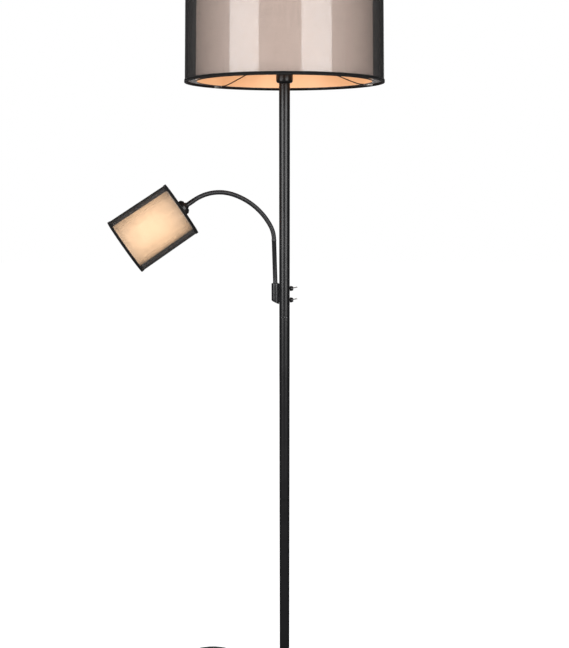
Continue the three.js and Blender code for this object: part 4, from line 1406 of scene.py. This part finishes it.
def make_shades():
    for name, lamp in LAMPS.items():
        total = lamp["height"]
        for kind in ("outer", "inner"):
            gap = 0.0 if kind == "outer" else lamp["gap"]
            margin = 0.9 if kind == "outer" else 4.6
            low, high = margin, total - margin
            rows = 14
            outside = [(drum_radius(lamp, low + (high - low) * k / rows) - gap, low + (high - low) * k / rows)
                       for k in range(rows + 1)]
            inside = [(radius - 0.8, height) for radius, height in outside[::-1]]
            slots = [0] * rows + [0] + [1] * rows + [1]
            drum = Shape().turned(outside + inside, lamp["sides"], True, slots)
            pair = ("sheer", "film") if kind == "outer" else (f"{name}_lining", f"{name}_inside")
            piece = drum.piece(f"{name}_{kind}_cloth", pair, lamp["place"])
            slot = "organza" if kind == "outer" else "shade_lining"
            settle(piece, lamp["body"], slot, f"{name}_{kind}_drum")

        seam = Shape()
        half = 4.5 / drum_radius(lamp, total / 2)
        rings = []
        for k in range(9):
            angle = math.pi / 2 - half + 2 * half * k / 8
            lift = 0.05 if k in (0, 8) else 0.25
            ring = []
            for height in [7.0 + (total - 14.0) * n / 20 for n in range(21)]:
                ring.append(polar((drum_radius(lamp, height) + lift) * MM, angle, height * MM))
            for height in [7.0 + (total - 14.0) * n / 20 for n in range(20, -1, -1)]:
                ring.append(polar((drum_radius(lamp, height) - 0.1) * MM, angle, height * MM))
            rings.append(ring)
        middle_first = [sum(rings[0], Vector()) / len(rings[0])]
        middle_last = [sum(rings[-1], Vector()) / len(rings[-1])]
        seam.skin([middle_first] + rings + [middle_last])
        settle(seam.piece(f"{name}_outer_seam", "sheer", lamp["place"]), lamp["body"], "organza")


def make_trims():
    for name, lamp in LAMPS.items():
        total = lamp["height"]
        for level in ("lower", "upper"):
            def at(height):
                return height if level == "lower" else total - height

            def rim(height):
                return drum_radius(lamp, at(height))

            fold = [(-4.6, 5.0), (-4.6, 0.5), (-4.2, 0.0), (0.5, 0.0), (0.9, 0.35), (0.95, 3.2), (0.85, 6.2),
                    (0.55, 6.5), (0.3, 6.2), (0.3, 0.65), (-3.95, 0.65), (-3.95, 5.0), (-4.25, 5.3)]
            outline = [(rim(height) + offset, at(height)) for offset, height in fold]
            tape = Shape().turned(outline, lamp["sides"], True)
            settle(tape.piece(f"{name}_{level}_tape", "tape", lamp["place"]), lamp["body"], "trim",
                   f"{name}_{level}_trim")
            stitches = round(math.tau * rim(3) * MM / sizes().stitch_pitch)
            for row, height in (("edge", 1.2), ("hem", 5.5)):
                thread = grown(f"{name}_{level}_stitches_{row}", beads_round, {
                    "Count": stitches, "Radius": (rim(height) + 0.86) * MM, "Height": at(height) * MM,
                    "Bead": (0.00045, sizes().stitch_pitch * 0.72, 0.00042), "Uneven": 0.0, "Seed": 7,
                    "Finish": finish("thread")}, place=lamp["place"])
                settle(thread, lamp["body"], "trim")


def make_inner_parts():
    """Finishes for the carried-over parts: weight, nut, nipple, couplers, switch bodies, lead and plugs."""
    wanted = {
        "base_weight": "iron", "base_nut": "steel", "foot_nipple": "steel", "foot_insert": "steel",
        "coupler_lower": "steel", "coupler_upper": "steel", "pole_top_plug": "steel", "pole_lead": "jacket",
        "main_switch_body": "phenolic", "reading_switch_body": "phenolic",
    }
    for node, name in wanted.items():
        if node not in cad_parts:
            raise RuntimeError(f"the frame has no part called {node}")
        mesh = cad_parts[node].data
        mesh.materials.clear()
        mesh.materials.append(finish("black_plastic" if name == "jacket" else name))


# ---------------------------------------------------------------- operators, panel and main


class LAMP_OT_stage(bpy.types.Operator):
    """Makes the floor, the light and the camera."""

    bl_idname = "lamp.stage"
    bl_label = "Stage"

    def execute(self, context):
        make_stage()
        return {"FINISHED"}


class LAMP_OT_cord(bpy.types.Operator):
    """Makes the mains cord with its coil, relief, plug and tie."""

    bl_idname = "lamp.cord"
    bl_label = "Mains cord"

    def execute(self, context):
        make_cord()
        return {"FINISHED"}


class LAMP_OT_base(bpy.types.Operator):
    """Makes the round base with its pad and collar."""

    bl_idname = "lamp.base"
    bl_label = "Base"

    def execute(self, context):
        make_base()
        return {"FINISHED"}


class LAMP_OT_pole(bpy.types.Operator):
    """Makes the three tubes of the pole."""

    bl_idname = "lamp.pole"
    bl_label = "Pole"

    def execute(self, context):
        make_pole()
        return {"FINISHED"}


class LAMP_OT_switches(bpy.types.Operator):
    """Makes the two toggle switches with their nuts and levers."""

    bl_idname = "lamp.switches"
    bl_label = "Toggle switches"

    def execute(self, context):
        make_switches()
        return {"FINISHED"}


class LAMP_OT_arm(bpy.types.Operator):
    """Makes the side socket, its welds and the arm rod."""

    bl_idname = "lamp.arm"
    bl_label = "Arm"

    def execute(self, context):
        make_arm()
        return {"FINISHED"}


class LAMP_OT_neck(bpy.types.Operator):
    """Makes the wound sleeves of the flexible neck."""

    bl_idname = "lamp.neck"
    bl_label = "Flexible neck"

    def execute(self, context):
        make_neck()
        return {"FINISHED"}


class LAMP_OT_holders(bpy.types.Operator):
    """Makes the cups, lampholders, rings and bulbs."""

    bl_idname = "lamp.holders"
    bl_label = "Lampholders"

    def execute(self, context):
        make_holders()
        return {"FINISHED"}


class LAMP_OT_frames(bpy.types.Operator):
    """Makes the white wire frames of both shades."""

    bl_idname = "lamp.frames"
    bl_label = "Wire frames"

    def execute(self, context):
        make_frames()
        return {"FINISHED"}


class LAMP_OT_shades(bpy.types.Operator):
    """Makes the sheer outer drums and the inner linings."""

    bl_idname = "lamp.shades"
    bl_label = "Shades"

    def execute(self, context):
        make_shades()
        return {"FINISHED"}


class LAMP_OT_trims(bpy.types.Operator):
    """Makes the black edge tapes and their stitches."""

    bl_idname = "lamp.trims"
    bl_label = "Edge tapes"

    def execute(self, context):
        make_trims()
        return {"FINISHED"}


class LAMP_OT_inner_parts(bpy.types.Operator):
    """Gives the parts inside the pole and the base their finishes."""

    bl_idname = "lamp.inner_parts"
    bl_label = "Inner parts"

    def execute(self, context):
        make_inner_parts()
        return {"FINISHED"}


class LAMP_PT_making(bpy.types.Panel):
    """Lists the steps that make the lamp."""

    bl_label = "Floor lamp"
    bl_idname = "LAMP_PT_making"
    bl_space_type = "VIEW_3D"
    bl_region_type = "UI"
    bl_category = "Lamp"

    def draw(self, context):
        for step in OPERATORS:
            self.layout.operator(step.bl_idname)


OPERATORS = (
    LAMP_OT_stage,
    LAMP_OT_cord,
    LAMP_OT_base,
    LAMP_OT_pole,
    LAMP_OT_switches,
    LAMP_OT_arm,
    LAMP_OT_neck,
    LAMP_OT_holders,
    LAMP_OT_frames,
    LAMP_OT_shades,
    LAMP_OT_trims,
    LAMP_OT_inner_parts,
)
CLASSES = (LampSizes, LampFinishes, LampStage, *OPERATORS, LAMP_PT_making)


def register():
    for each in CLASSES:
        bpy.utils.register_class(each)
    bpy.types.Scene.lamp_sizes = bpy.props.PointerProperty(type=LampSizes)
    bpy.types.Scene.lamp_finishes = bpy.props.PointerProperty(type=LampFinishes)
    bpy.types.Scene.lamp_stage = bpy.props.PointerProperty(type=LampStage)


def unregister():
    del bpy.types.Scene.lamp_stage
    del bpy.types.Scene.lamp_finishes
    del bpy.types.Scene.lamp_sizes
    for each in reversed(CLASSES):
        bpy.utils.unregister_class(each)


def main():
    register()
    bpy.ops.lamp.stage()
    bpy.ops.lamp.cord()
    bpy.ops.lamp.base()
    bpy.ops.lamp.pole()
    bpy.ops.lamp.switches()
    bpy.ops.lamp.arm()
    bpy.ops.lamp.neck()
    bpy.ops.lamp.holders()
    bpy.ops.lamp.frames()
    bpy.ops.lamp.shades()
    bpy.ops.lamp.trims()
    bpy.ops.lamp.inner_parts()


if __name__ == "__main__":
    main()
